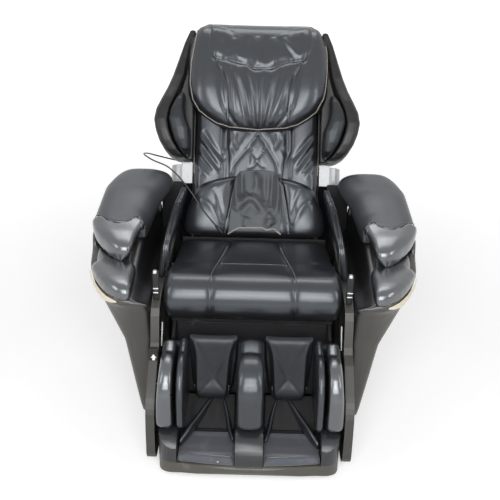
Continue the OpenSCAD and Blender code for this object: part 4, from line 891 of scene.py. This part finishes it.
def makeCover(v):
    def face(x, t):
        t = t * 1000
        part = np.abs(x) * 1000 / along(backStations, t, 1)
        return np.minimum(v["rear"] - 2, along(backStations, t, 2) + along(v["across"], part)) * 0.001
    piece = domePad("backCover", outlineOf(backStations, v["count"]), v["centre"], v["step"], face,
                    lambda x, t: v["rear"] * 0.001 + 0 * t, looks["gloss"], v["edge"])
    refine(piece)
    cuts = [(smooth(line), v["seamCut"]) for line in v["seams"]] + [(smooth(line), v["veeCut"]) for line in v["vee"]]
    cuts += [(metres(line), v["crossCut"]) for line in v["crosses"]]
    workFace(piece, cuts, v["folds"], v["fade"])
    finishPiece(piece, "backrest", ["back_cover"])
    surface = surfaceOf(piece)
    edge = metres([(p[0] - 6, p[1]) for p in curveThrough(v["binding"], 6)])
    lines = [dropOn(surface, [(side * x, -0.15, t) for x, t in edge], (0, 1, 0), 0.0006)[0] for side in (-1, 1)]
    trim = piping("coverBinding", lines, 0.0024, looks["paleTrim"])
    piece.data.transform(backMatrix)
    finishPiece(trim, "backrest", matrix=backMatrix)
    print("back cover ready")


makeCover(coverValues)

lumbarValues = {
    "stations": [(74, 222, 8), (80, 234, 20), (107, 242, 26), (150, 236, 28), (195, 219, 28), (230, 205, 27),
                 (250, 182, 25), (266, 140, 21), (277, 92, 16), (285, 44, 8)],
    "across": [(0, 0.94), (0.25, 0.92), (0.44, 0.86), (0.52, 1), (0.65, 1.12), (0.8, 1.05), (0.93, 0.8), (1, 0.35)],
    "rear": -45, "step": 0.005, "count": 60, "tip": (0, 290), "centre": (0, 0.16), "edge": 12.0, "fade": 0.3,
    "seamCut": (0.0035, 0.003, 0.005, 0.014),
    "seams": [[(-67, 279), (-79, 210), (-90, 142), (-102, 78)], [(86, 279), (98, 215), (110, 147), (118, 78)]],
    "folds": [([(-190, 200), (-150, 170), (-118, 110)], 9, 3), ([(-140, 235), (-122, 190), (-112, 140)], 8, -3),
              ([(198, 205), (160, 172), (130, 112)], 9, 3), ([(150, 238), (132, 190), (124, 140)], 8, -3)],
}


def makeLumbar(v):
    def face(x, t):
        t = t * 1000
        part = np.abs(x) * 1000 / along(v["stations"], t, 1)
        return (v["rear"] - along(v["stations"], t, 2) * along(v["across"], part)) * 0.001
    piece = domePad("lumbarPad", outlineOf(v["stations"], v["count"], [v["tip"]]), v["centre"], v["step"], face,
                    lambda x, t: v["rear"] * 0.001 + 0 * t, looks["gloss"], v["edge"])
    refine(piece)
    workFace(piece, [(smooth(line), v["seamCut"]) for line in v["seams"]], v["folds"], v["fade"])
    finishPiece(piece, "backrest", ["lumbar_pad"], backMatrix)
    print("lumbar pad ready")


makeLumbar(lumbarValues)

flapValues = {
    "outline": [(80, 90, 90), (100, 88, 88), (142, 84, 92), (210, 78, 90), (262, 70, 80), (296, 52, 66)],
    "high": 292, "crown": 6, "thick": 2.2, "face": -78, "rows": 78, "cols": 66,
    # low waves above the hem: height, pace, top and depth of the waved part
    "wave": (1.2, 0.11, 130, 50),
    "hem": [(-90, 76), (-55, 98), (26, 100), (43, 92), (66, 98), (90, 78)],
    "folds": [([(-63, 290), (-66, 240), (-64, 176)], 10, 4), ([(-48, 290), (-46, 240), (-40, 190)], 9, -3),
              ([(75, 291), (78, 220), (72, 145)], 10, 4), ([(58, 290), (56, 230), (52, 170)], 9, -3),
              ([(-70, 158), (-44, 190), (-18, 214)], 16, 4.2), ([(-18, 214), (2, 192), (24, 164), (40, 150)], 15, 3.6),
              ([(38, 152), (52, 136), (64, 112)], 14, 3.4), ([(-48, 144), (-14, 182), (14, 150)], 13, -2.0),
              ([(0, 290), (4, 250), (-2, 222)], 11, 2.5), ([(30, 290), (30, 240), (34, 190)], 10, -2.5),
              ([(-26, 138), (-34, 102)], 12, 2.0), ([(46, 134), (44, 102)], 12, 2.0)],
}


def makeFlap(v):
    rows, cols = v["rows"], v["cols"]
    t, u = np.meshgrid(np.linspace(0, 1, rows), np.linspace(0, 1, cols), indexing="ij")
    hemX, hemZ = zip(*v["hem"])
    bottomAt = np.interp(hemX[0] + (hemX[-1] - hemX[0]) * u, hemX, hemZ)
    z = bottomAt + (v["high"] + v["crown"] * (1 - (2 * u - 1) ** 2) - bottomAt) * t
    x = -along(v["outline"], z, 1) * (1 - u) + along(v["outline"], z, 2) * u
    points = np.stack([x, z], -1).reshape(-1, 2)
    y = np.full(len(points), float(v["face"]))
    for line, width, height in v["folds"]:
        y -= fold(points, curveThrough(line, 6) if len(line) > 2 else toArray(line), width, height, 0.25)
    tall, pace, top, deep = v["wave"]
    y += tall * np.sin(points[:, 0] * pace) * np.clip((top - points[:, 1]) / deep, 0, 1)
    y = np.minimum(y, v["face"] + 3)
    front = np.stack([points[:, 0], y, points[:, 1]], 1) * 0.001
    piece = newPiece("lumbarFlap", front, gridFaces(rows, cols), looks["dullShaded"])
    refine(thicken(piece, v["thick"] * 0.001))
    hem = curveThrough(front.reshape(rows, cols, 3)[0], 0.004) + toArray([0, -0.0006, 0.0012])
    trim = piping("flapHem", [hem], 0.0016, looks["paleTrim"], flat=1.6)
    trim.data.transform(backMatrix)
    finishPiece(piece, "backrest", ["lumbar_flap"], backMatrix)
    finishPiece(trim, "backrest")
    print("flap ready")


makeFlap(flapValues)

seatValues = {
    "front": -353, "roll": 68, "crest": 495, "slope": 8, "width": 524, "step": 7,
    "taper": 0.042,  # how much each side comes in towards the rear
    "crowd": 0.9, "core": (-120, 400), "heldFrom": 0.235,
    "puff": {"pressure": 5, "frames": 14, "cap": 0.005},
    "stitch": {"length": 0.006, "gap": 0.003, "radius": 0.0007},
    "seamX": [(-353, 124), (-300, 120), (-220, 113), (-150, 103), (-75, 92), (98, 76)], "end": 30,
    "across": [(0, 5), (0.55, 4.5), (0.88, 2.6), (1, 0), (1.12, 2.6), (1.42, 5), (1.7, 4), (1.87, 1.5), (2, -2)],
}


def seatProfile(v):
    rollY = v["front"] + v["roll"]
    top = lambda y: v["crest"] - (y - rollY) * math.tan(math.radians(v["slope"]))
    under = lambda y: 352 - (y + 300) * 52 / 392
    arcPoints = [(rollY + v["roll"] * math.cos(math.radians(a)),
                  v["crest"] - v["roll"] + v["roll"] * math.sin(math.radians(a)), 1) for a in np.linspace(85, 250, 16)]
    points = [(65, under(65), 0), (88, 345, 0), (96, 366, 0), (98, 405, 0.3), (90, top(90) - 3, 0.7)]
    points += [(y, top(y), 1) for y in (60, 10, -45, -100, -150)]
    points += [(-180, top(-180) - 1, 0.95), (-205, top(-205), 1), (-245, top(-245) + 2, 1)]
    points += arcPoints + [(-300, under(-300), 0), (-200, under(-200), 0), (-100, under(-100), 0), (0, under(0), 0)]
    return spread(points + [points[0]], v["step"])[:-1]


def makeSeat(v):
    profile = seatProfile(v)
    cols = int(v["width"] / v["step"]) | 1
    rings = []
    for s in np.linspace(-1, 1, cols):
        seamX = along(v["seamX"], profile[:, 0])
        half = v["width"] / 2 - np.maximum(0, profile[:, 0] - v["front"]) * v["taper"]
        x = np.sign(s) * np.abs(s) ** v["crowd"] * half
        part = np.where(np.abs(x) < seamX, np.abs(x) / seamX, 1 + (np.abs(x) - seamX) / (half - seamX))
        crown = along(v["across"], part) * profile[:, 2]
        reach = np.clip((np.abs(x) - (half - v["end"])) / v["end"], 0, 1)
        drawn = v["end"] * (1 - np.sqrt(np.clip(1 - reach ** 2.4, 0, 1)))
        away = profile[:, :2] - toArray(v["core"])
        away /= np.linalg.norm(away, axis=1)[:, None]
        p = profile[:, :2] + away * (crown - drawn)[:, None]
        rings.append(np.column_stack([x, p[:, 0], p[:, 1]]))
    piece = outward(newPiece("seatCushion", metres(np.vstack(rings)), tubeFaces(cols, len(profile)), looks["gloss"]))
    at = getPoints(piece)
    seamGap = np.abs(np.abs(at[:, 0]) - along(v["seamX"], at[:, 1] * 1000) * 0.001)
    topFace = at[:, 2] > 0.40 - 0.02 * (at[:, 1] < -0.3)
    held = np.exp(-(seamGap / 0.012) ** 2)
    held = np.maximum(held, np.exp(-((at[:, 1] + 0.180) / 0.010) ** 2) * 0.3)
    held[~topFace & (at[:, 1] > -0.33)] = 1
    held[np.abs(at[:, 0]) > v["heldFrom"]] = 1
    puff(piece, held, **v["puff"])
    refine(piece)
    at = getPoints(piece)
    gap = np.abs(np.abs(at[:, 0]) - along(v["seamX"], at[:, 1] * 1000) * 0.001)
    heights = -0.0026 * np.exp(-(gap / 0.0026) ** 2) - 0.0014 * np.exp(-(gap / 0.010) ** 2)
    heights[(at[:, 2] < 0.37) & (at[:, 1] > -0.33)] = 0
    pushOut(piece, heights)
    finishPiece(piece, "base", ["seat_cushion"])
    surface = surfaceOf(piece)
    parts = []
    for side in (-1, 0, 1):
        if side:
            line = [(side * along(v["seamX"], y) * 0.001 + side * 0.004, y * 0.001, 0.5) for y in range(-300, 20, 8)]
        else:
            line = [(x * 0.001, -0.182 - 0.012 * (1 - (x / 100) ** 2), 0.5) for x in range(-102, 106, 6)]
        parts += stitchParts(*dropOn(surface, line, (0, 0, -1)), **v["stitch"])
    finishPiece(newPiece("seatStitches", *join(parts), looks["thread"]), "base")
    print("seat ready")


makeSeat(seatValues)

# name: [node, finish, body, slot, fill, voxel, smoothing, swell]
skinValues = {
    "armShells": ["arm_shells", "armShell", "base", "brown_plastic", None, 5.0, 34, 0.6],
    "handPads": ["hand_pads", "bright", "base", "black_leather", 0.8, 4.0, 5, 0.8],
    "seatGuards": ["seat_guards", "gloss", "base", "black_leather", 0.8, 4.0, 5, 0.8],
    "shoulderShells": ["shoulder_shells", "shell", "backrest", "black_plastic", None, 4.0, 5, 0.4],
    "shoulderPads": ["shoulder_pads", "dullShaded", "backrest", "black_leather", 0.8, 4.0, 5, 0.8],
    "calfWalls": ["calf_walls", "bright", "legrest", "black_leather", 0.8, 4.0, 10, 1.6],
    "calfSidePads": ["calf_side_pads", "gloss", "legrest", "black_leather", 0.8, 3.5, 8, 1.2],
    "calfDivider": ["calf_divider", "gloss", "legrest", "black_leather", 0.8, 4.0, 10, 1.6],
    "footSoles": ["foot_soles", "soleCloth", "foot_unit", "sole_fabric", 0.3, 3.5, 5, 0.5],
}
skins = {}


def flareWalls(piece):
    # the outer walls of the legrest lean out towards their lower ends
    at = getPoints(piece)
    low = np.clip((0.335 - at[:, 2]) / 0.15, 0, 1)
    out = np.clip((np.abs(at[:, 0]) - 0.226) / 0.024, 0, 1)
    ahead = np.clip((-0.43 - at[:, 1]) / 0.05, 0, 1)
    at[:, 0] += np.sign(at[:, 0]) * 0.0085 * low * low * (3 - 2 * low) * out * ahead
    setPoints(piece, at)


for name, (cadNode, look, body, slotName, fill, voxel, smoothing, swell) in skinValues.items():
    skins[name] = formFrom(name, cadNode, looks[look], voxel * 0.001, smoothing, swell * 0.001)
    if name == "calfWalls":
        flareWalls(skins[name])
    finishPiece(skins[name], body, [cadNode])
print("arms, guards and shoulders ready")

armValues = {
    "outer": [(-262, 389), (-260, 397), (-254, 408), (-237, 430), (-217, 448), (-199, 464), (-162, 487),
              (-134, 496), (-120, 498), (-50, 495), (20, 491), (50, 490), (75, 483), (110, 473), (150, 453),
              (172, 430), (188, 402), (195, 382)],
    "inner": [(-262, 377), (-260, 371), (-254, 364), (-237, 358), (-199, 353), (-162, 346), (-123, 334),
              (-50, 322), (20, 312), (75, 297), (110, 285), (150, 277), (172, 283), (188, 296), (195, 310)],
    "top": [(-262, 548), (-260, 556), (-254, 565), (-237, 575), (-217, 583), (-199, 589), (-162, 598),
            (-134, 606), (-50, 628), (20, 647), (50, 652), (75, 657), (110, 662), (150, 666), (172, 658),
            (188, 642), (195, 624)],
    "deck": [(-400, 455), (-350, 465), (-290, 478), (-125, 532), (50, 584), (150, 606), (195, 612)],
    # the seam between pad and hood, from outside to inside, seen from above
    "seam": [(520, -80), (496, -95), (480, -110), (461, -127), (445, -144), (422, -154), (391, -149), (371, -130),
             (358, -106)],
    "inside": [(358, -106, 611), (353, -125, 604), (347, -144, 594), (345, -150, 572), (346, -151, 543)],
    "cheek": (300, -127), "front": -300, "handGap": 46, "outerDrop": 20, "padEnd": -125,
    "voxel": 4.0, "smoothing": 5, "swell": 0.7,
}


def armForm(v):
    ys = -33.5 - 228.5 * np.cos(np.linspace(0, math.pi, 66))
    rings = []
    for y in sorted([*ys, -126, -124.5]):
        out, inside, top = (float(along(v[k], y)) for k in ("outer", "inner", "top"))
        isPad = y < v["padEnd"]
        low = float(np.interp(y, *zip(*v["deck"]))) + (v["handGap"] if isPad else 0.6)
        w = min(1, max(0, (y + 160) / 90))
        mid = out - (out - inside) * (0.5 - 0.05 * w)
        ring = [(inside + 3, y, low), (out - 3, y, low - (v["outerDrop"] if isPad else 0))]
        for a in np.radians(np.linspace(0, 180, 41)):
            power = 3.4 + (0.4 * w if a < math.pi / 2 else -w)
            c, u = abs(math.cos(a)) ** (2 / power), abs(math.sin(a)) ** (2 / power)
            ring.append((mid + ((out - mid) * c if a < math.pi / 2 else (inside - mid) * c), y,
                         low + 5 + (top - low - 5) * u))
        rings.append(ring)
    return outward(newPiece("armForm", metres(rings).reshape(-1, 3), tubeFaces(len(rings), len(rings[0])),
                            looks["matt"]))


def makeArms(v):
    form = armForm(v)
    surface = surfaceOf(form)
    flat = v["seam"] + [(352, -122), v["cheek"], (v["cheek"][0], v["front"]), (520, v["front"])]
    verts = [(x, y, z) for z in (400, 750) for x, y in flat]
    cutter = outward(newPiece("cutter", metres(verts), prismFaces(len(flat)), looks["matt"]))
    for name, how, look, cadNode in (("armPads", "INTERSECT", "bright", "arm_pads"),
                                     ("armHoods", "DIFFERENCE", "matt", "arm_hoods")):
        piece = bpy.data.objects.new(name, form.data.copy())
        scene.collection.objects.link(piece)
        piece.data.materials.clear()
        piece.data.materials.append(looks[look])
        cut = piece.modifiers.new("cut", "BOOLEAN")
        cut.operation, cut.object, cut.solver = how, cutter, "EXACT"
        reskin(piece, v["voxel"] * 0.001, v["smoothing"])
        pushOut(piece, np.full(len(piece.data.vertices), v["swell"] * 0.001))
        both = piece.modifiers.new("both", "MIRROR")
        both.use_mirror_merge = False
        bake(piece)
        finishPiece(piece, "base", [cadNode])
    over = dropOn(surface, [(x, y, 0.6) for x, y in curveThrough(metres(v["seam"][1:]), 0.004)], (0, 0, -1))[0]
    lines = [over, clingTo(surface, curveThrough(metres(v["inside"]), 0.004))]
    trim = piping("armPiping", lines + [mirrored(line) for line in lines], 0.0019, looks["cord"])
    finishPiece(trim, "base")
    for unused in (form, cutter):
        bpy.data.objects.remove(unused)
    print("arm tops ready")


makeArms(armValues)

# places along the guards: how far back, middle across, half width
guardValues = {"line": [(-196, 264, 13), (-180, 261, 14), (-155, 261, 14), (-60, 262, 14), (20, 261, 14),
                        (70, 256, 14.5), (100, 250, 15.5), (125, 245, 16), (145, 242, 16), (162, 241, 15),
                        (176, 241, 12)],
               "top": [(-206, 500), (-203, 530), (-196, 547), (-180, 558), (-155, 563), (-60, 567), (20, 571),
                       (70, 580), (100, 589), (125, 597), (145, 603), (162, 602), (176, 592), (182, 578)],
               "apart": 0.66}


def makeGuardPiping(v):
    surface = surfaceOf(skins["seatGuards"])
    lines = []
    for side in (-1, 1):
        for edge in (-1, 1):
            points = [(side * (along(v["line"], y) + edge * v["apart"] * along(v["line"], y, 2)) * 0.001, y * 0.001,
                       along(v["top"], y) * 0.001) for y in np.linspace(-196, 172, 70)]
            front = [(points[0][0], -0.2045, z) for z in np.linspace(0.455, 0.535, 16)]
            lines.append(clingTo(surface, front + points))
    finishPiece(piping("guardPiping", lines, 0.0021, looks["cord"]), "base")


makeGuardPiping(guardValues)

# dark cloth between the guards and the arms, and behind the seat: rows from low to high, each y and z
liningValues = {"thick": 0.0015, "x": (247, 322), "rows": [(186, 300), (187, 400), (190, 500), (197, 572), (204, 606)],
                "skirtX": (-246, 246), "skirt": [(103, 404), (108, 424), (111, 440)]}


def makeCurtain(name, points, thick, flip=False):
    # a thin dark cloth over rows of points
    faces = gridFaces(len(points), len(points[0]), flip=flip)
    piece = thicken(newPiece(name, metres(points).reshape(-1, 3), faces, looks["darkCloth"]), thick)
    return finishPiece(piece, "base")


def makeLining(v):
    rows = curveThrough(v["rows"], 8)
    near, far = v["x"]
    u = np.linspace(0, 1, 16)
    for side, name in ((1, "sideLiningRight"), (-1, "sideLiningLeft")):
        points = [[(side * (near + (far - near) * k), y + 2.0 * math.sin(k * 9 + z * 0.03), z) for k in u]
                  for y, z in rows]
        piece = makeCurtain(name, points, v["thick"], flip=side < 0)
    u = np.linspace(*v["skirtX"], 60)
    points = [[(x, y + 1.2 * math.sin(x * 0.07), z) for x in u] for y, z in curveThrough(v["skirt"], 6)]
    piece = makeCurtain("seatSkirt", points, v["thick"])


makeLining(liningValues)

calfValues = {
    "stations": [(148, 26, 34), (152, 44, 25), (163, 54, 19), (185, 57, 13), (220, 50, 7), (262, 39, 2), (300, 29, 0),
                 (328, 22, 0), (341, 15, 0), (346, 5, 2)],
    "x": (39, 181), "rear": -376.5, "step": 3.6, "centre": 0.25, "edge": 24,
    # the raised panel: height, near edge and far edge across
    "panel": [(150, 78, 150), (156, 72, 157), (170, 66, 162), (200, 63, 164), (250, 60, 165), (290, 57, 166),
              (320, 51, 170), (346, 45, 175)],
    # the low middle where its four facets meet: height, and how far they run across, up and down
    "apex": 226, "facets": (56, 112, 66), "dip": 0.010, "crease": 0.0012,
}


def calfSideOf(v, t):
    middle, half = sum(v["x"]) / 2, (v["x"][1] - v["x"][0]) / 2
    return middle, half - along(v["stations"], t, 2)


def makeCalfPads(v):
    heights = np.linspace(148, 346, 60)
    right = [(calfSideOf(v, t)[0] + calfSideOf(v, t)[1], t) for t in heights]
    left = [(calfSideOf(v, t)[0] - calfSideOf(v, t)[1], t) for t in heights[::-1]]
    middle = sum(v["x"]) / 2

    def face(x, t):
        x, t = x * 1000, t * 1000
        inside = np.minimum(x - along(v["panel"], t, 1), along(v["panel"], t, 2) - x)
        inside = np.minimum(inside, (t - 151) * 1.2)
        raised = np.clip(inside / 15 + 0.45, 0, 1)
        raised = raised * raised * (3 - 2 * raised)
        thick = along(v["stations"], t, 1)
        return (v["rear"] - thick * (0.74 + 0.32 * raised) + 3) * 0.001
    for side in (1, -1):
        mark = "Right" if side > 0 else "Left"
        piece = domePad("calfPad" + mark, metres(right + left), (middle * 0.001, v["centre"]), v["step"] * 0.001, face,
                        lambda x, t: v["rear"] * 0.001 + 0 * t, looks["dullShaded"], v["edge"])
        refine(piece)
        at = flatPoints(piece) * 1000
        across, up, down = v["facets"]
        u = (at[:, 0] - middle) / across
        w = np.where(at[:, 1] > v["apex"], (at[:, 1] - v["apex"]) / up, (v["apex"] - at[:, 1]) / down)
        cross = np.abs(np.abs(u) - w)
        dip = -v["dip"] * np.exp(-(np.hypot(u, w) / 0.75) ** 2)
        dip -= v["crease"] * np.exp(-(cross / 0.14) ** 2) * (w < 1.1)
        pushOut(piece, dip, (0, -1, 0))
        surface = surfaceOf(piece)
        rim = [(v["panel"][i][1], v["panel"][i][0]) for i in (3, 2, 1)] + [(84, 151), (112, 150), (143, 151)]
        rim += [(v["panel"][i][2], v["panel"][i][0]) for i in (1, 2, 3)]
        line = dropOn(surface, [(x, -0.45, t) for x, t in curveThrough(metres(rim), 0.003)], (0, 1, 0))[0]
        trim = piping("calfPiping" + mark, [line], 0.0018, looks["cord"])
        for made in (piece, trim):
            if side < 0:
                made.data.transform(Matrix.Scale(-1, 4, (1, 0, 0)))
                made.data.flip_normals()
        finishPiece(piece, "legrest", ["calf_pads"])
        finishPiece(trim, "legrest")
    print("calf pads ready")


makeCalfPads(calfValues)

wellValues = {
    "top": (-395, 152), "low": (-466, 79), "x": (45, 197), "thick": 0.0015,
    # folds of lining that hang from the calf pads to the tray: points and half widths
    "outer": [(110, -404, 148, 8), (124, -420, 134, 13), (140, -442, 117, 17), (158, -468, 102, 20),
              (177, -498, 90, 21), (193, -526, 82, 17), (198, -540, 78, 9)],
    "inner": [(82, -402, 148, 7), (72, -424, 126, 11), (64, -450, 104, 13), (58, -478, 90, 13), (50, -508, 82, 10),
              (45, -522, 79, 5)],
}


def makeWells(v):
    (topY, topZ), (lowY, lowZ), (near, far) = v["top"], v["low"], v["x"]
    rows, cols = 26, 40
    t, u = np.meshgrid(np.linspace(0, 1, rows), np.linspace(0, 1, cols), indexing="ij")
    sag = np.sin(t * math.pi)
    for side, mark in ((1, "Right"), (-1, "Left")):
        wave = 3 * np.sin(u * 17 + side) * sag - 10 * sag
        verts = metres(np.stack([side * (near + (far - near) * u), topY + (lowY - topY) * t + wave * 0.7,
                                 topZ + (lowZ - topZ) * t - wave * 0.7 - 6 * sag], -1).reshape(-1, 3))
        curtain = newPiece("wellLining" + mark, verts, gridFaces(rows, cols, flip=side < 0), looks["darkCloth"])
        thicken(curtain, v["thick"])
        parts = []
        for key, way in (("outer", 1), ("inner", -1)):
            line = curveThrough(v[key], 5)
            points = metres(line[:, :3]) * toArray([side, 1, 1])
            parts.append(sweep(points, metres(line[:, 3]), 16, flat=0.55, up=(side * way, 0.3, 0.2)))
        folds = refine(outward(newPiece("wellFolds" + mark, *join(parts), looks["gloss"])))
        for piece in (curtain, folds):
            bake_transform(piece)
    surface = surfaceOf(skins["footSoles"])
    rim = [(x * 0.001, (-596 + x * x / 2400) * 0.001 + 0.006, 0.2) for x in range(48, 196, 4)]
    lines = [dropOn(surface, [(side * x, y, z) for x, y, z in rim], (0, 0, -1))[0] for side in (-1, 1)]
    finishPiece(piping("soleRims", lines, 0.0014, looks["cord"]), "foot_unit")
    print("foot wells ready")


makeWells(wellValues)

smallValues = {
    # body and place of each snap
    "snaps": [("legrest", (4, -563.5, 157)), ("foot_unit", (-86, -601.6, 70))], "snapRadius": 0.0024,
    "catch": {"x": (271, 289), "y": (-342, -324), "z": (434, 524), "bars": (459, 472), "tip": 519},
    "sign": {"x": (-292, -266), "y": (-436, -424), "z": (266, 328)},
    "arrow": [(-4, -13), (4, -13), (4, 2), (8.5, 2), (0, 14), (-8.5, 2), (-4, 2)],
    "bracket": {"x": (-293, -262), "y": (-436, -428), "z": (206, 212)},
}


def boxParts(low, high):
    # verts and faces of a box, from millimetres
    verts = [(x, y, z) for x in (low[0], high[0]) for y in (low[1], high[1]) for z in (low[2], high[2])]
    return metres(verts), [(0, 1, 3, 2), (4, 6, 7, 5), (0, 4, 5, 1), (2, 3, 7, 6), (0, 2, 6, 4), (1, 5, 7, 3)]


def boxOf(b):
    return boxParts(*zip(b["x"], b["y"], b["z"]))


def rounded(piece, width):
    edge = piece.modifiers.new("edge", "BEVEL")
    edge.width, edge.segments = width * 0.001, 3
    return bake(outward(piece))


def makeSmallParts(v):
    for i, (body, place) in enumerate(v["snaps"]):
        bm = bmesh.new()
        bmesh.ops.create_uvsphere(bm, u_segments=20, v_segments=12, radius=v["snapRadius"])
        mesh = bpy.data.meshes.new("snap" + str(i))
        bm.to_mesh(mesh)
        bm.free()
        piece = bpy.data.objects.new("snap" + str(i), mesh)
        scene.collection.objects.link(piece)
        mesh.materials.append(looks["ivory"])
        mesh.transform(Matrix.Translation(metres(place)) @ Matrix.Diagonal((1, 0.5, 1, 1)))
        mesh.polygons.foreach_set("use_smooth", [True] * len(mesh.polygons))
        finishPiece(piece, body)
    c = v["catch"]
    posts, bars = [], []
    for side in (-1, 1):
        low, high = sorted((side * c["x"][0], side * c["x"][1]))
        posts.append(boxParts((low, c["y"][0] + 6, c["z"][0]), (high, c["y"][1], c["z"][1])))
        for z in c["bars"]:
            bars.append(boxParts((low + 1, c["y"][0], z - 2), (high - 1, c["y"][0] + 7, z + 2)))
        bars.append(boxParts((low + 3, c["y"][0] + 1, c["tip"]), (high - 5, c["y"][1] - 2, c["z"][1] + 3)))
    finishPiece(rounded(newPiece("catchPosts", *join(posts), looks["shell"]), 1.5), "base")
    finishPiece(rounded(newPiece("catchBars", *join(bars), looks["steel"]), 0.8), "base")
    g = v["sign"]
    finishPiece(rounded(newPiece("signPlate", *boxOf(g), looks["frame"]), 1.0), "base")
    midX, midZ, y = sum(g["x"]) / 2, sum(g["z"]) / 2, g["y"][0]
    verts = [(midX + a, y - d, midZ + b) for d in (0.9, -0.5) for a, b in v["arrow"]]
    arrow = outward(newPiece("signArrow", metres(verts), prismFaces(len(v["arrow"])), looks["white"], smooth=False))
    finishPiece(arrow, "base")
    finishPiece(rounded(newPiece("signLedge", *boxOf(v["bracket"]), looks["steel"]), 1.0), "base")
    print("small parts ready")


makeSmallParts(smallValues)

lightValues = {
    # place, aim, size and power
    "front": [(0.0, -3.0, 2.6), (0, -0.3, 0.5), (2.2, 1.5), 66],
    "low": [(0.0, -3.3, 1.55), (0, 0, 0.5), (2.8, 1.1), 50],
    "over": [(0.0, 0.9, 2.7), (0, -0.1, 0.5), (1.8, 0.7), 14],
    "left": [(-2.3, -1.5, 1.8), (0, -0.1, 0.5), (0.5, 1.6), 15],
    "right": [(2.3, -1.5, 1.8), (0, -0.1, 0.5), (0.5, 1.6), 15],
}


def seenRays(tree, path):
    # 1 for camera, glossy and transmission rays
    both = maths(tree, "MAXIMUM", path.outputs["Is Camera Ray"], path.outputs["Is Glossy Ray"])
    return maths(tree, "MAXIMUM", both, path.outputs["Is Transmission Ray"])


def makeLights(values, ambient):
    for name, (place, aim, size, power) in values.items():
        data = bpy.data.lights.new(name, "AREA")
        data.shape = "RECTANGLE"
        data.size, data.size_y = size
        data.energy = power
        lamp = bpy.data.objects.new(name, data)
        lamp.location = place
        lamp.rotation_euler = (Vector(aim) - Vector(place)).to_track_quat("-Z", "Y").to_euler()
        scene.collection.objects.link(lamp)
    world = bpy.data.worlds.new("studio")
    scene.world = world
    world.use_nodes = True
    tree = world.node_tree
    background = tree.nodes["Background"]
    path = tree.nodes.new("ShaderNodeLightPath")
    seen = seenRays(tree, path)
    plain = maths(tree, "MULTIPLY", maths(tree, "SUBTRACT", 1.0, seen), ambient)
    tree.links.new(maths(tree, "ADD", seen, plain), background.inputs["Strength"])
    background.inputs["Color"].default_value = (1, 1, 1, 1)


# far from the lamps the floor glows more for the eye, so that it is as white there as below them
floorValues = {"half": 40, "paint": (0.62, 0.62, 0.62, 1), "rough": 0.9, "shine": 0.1,
               "glow": (("From Min", 0.9), ("From Max", 3.4), ("To Min", 0.48), ("To Max", 1.0))}


def makeFloor(v):
    h = v["half"]
    verts = [(-h, -h, 0), (h, -h, 0), (h, h, 0), (-h, h, 0)]
    material = bpy.data.materials.new("floorPaint")
    material.use_nodes = True
    tree = material.node_tree
    shader = tree.nodes["Principled BSDF"]
    shader.inputs["Roughness"].default_value = v["rough"]
    shader.inputs["Specular IOR Level"].default_value = v["shine"]
    shader.inputs["Base Color"].default_value = v["paint"]
    shader.inputs["Emission Color"].default_value = (1, 1, 1, 1)
    path = tree.nodes.new("ShaderNodeLightPath")
    far = tree.nodes.new("ShaderNodeVectorMath")
    far.operation = "LENGTH"
    tree.links.new(tree.nodes.new("ShaderNodeTexCoord").outputs["Object"], far.inputs[0])
    more = tree.nodes.new("ShaderNodeMapRange")
    for key, value in v["glow"]:
        more.inputs[key].default_value = value
    tree.links.new(far.outputs["Value"], more.inputs["Value"])
    tree.links.new(maths(tree, "MULTIPLY", seenRays(tree, path), more.outputs["Result"]),
                   shader.inputs["Emission Strength"])
    floor = newPiece("floor", verts, [(0, 1, 2, 3)], material)


makeLights(lightValues, 0.2)
makeFloor(floorValues)
scene.view_settings.view_transform = "Standard"
print("light and floor ready")
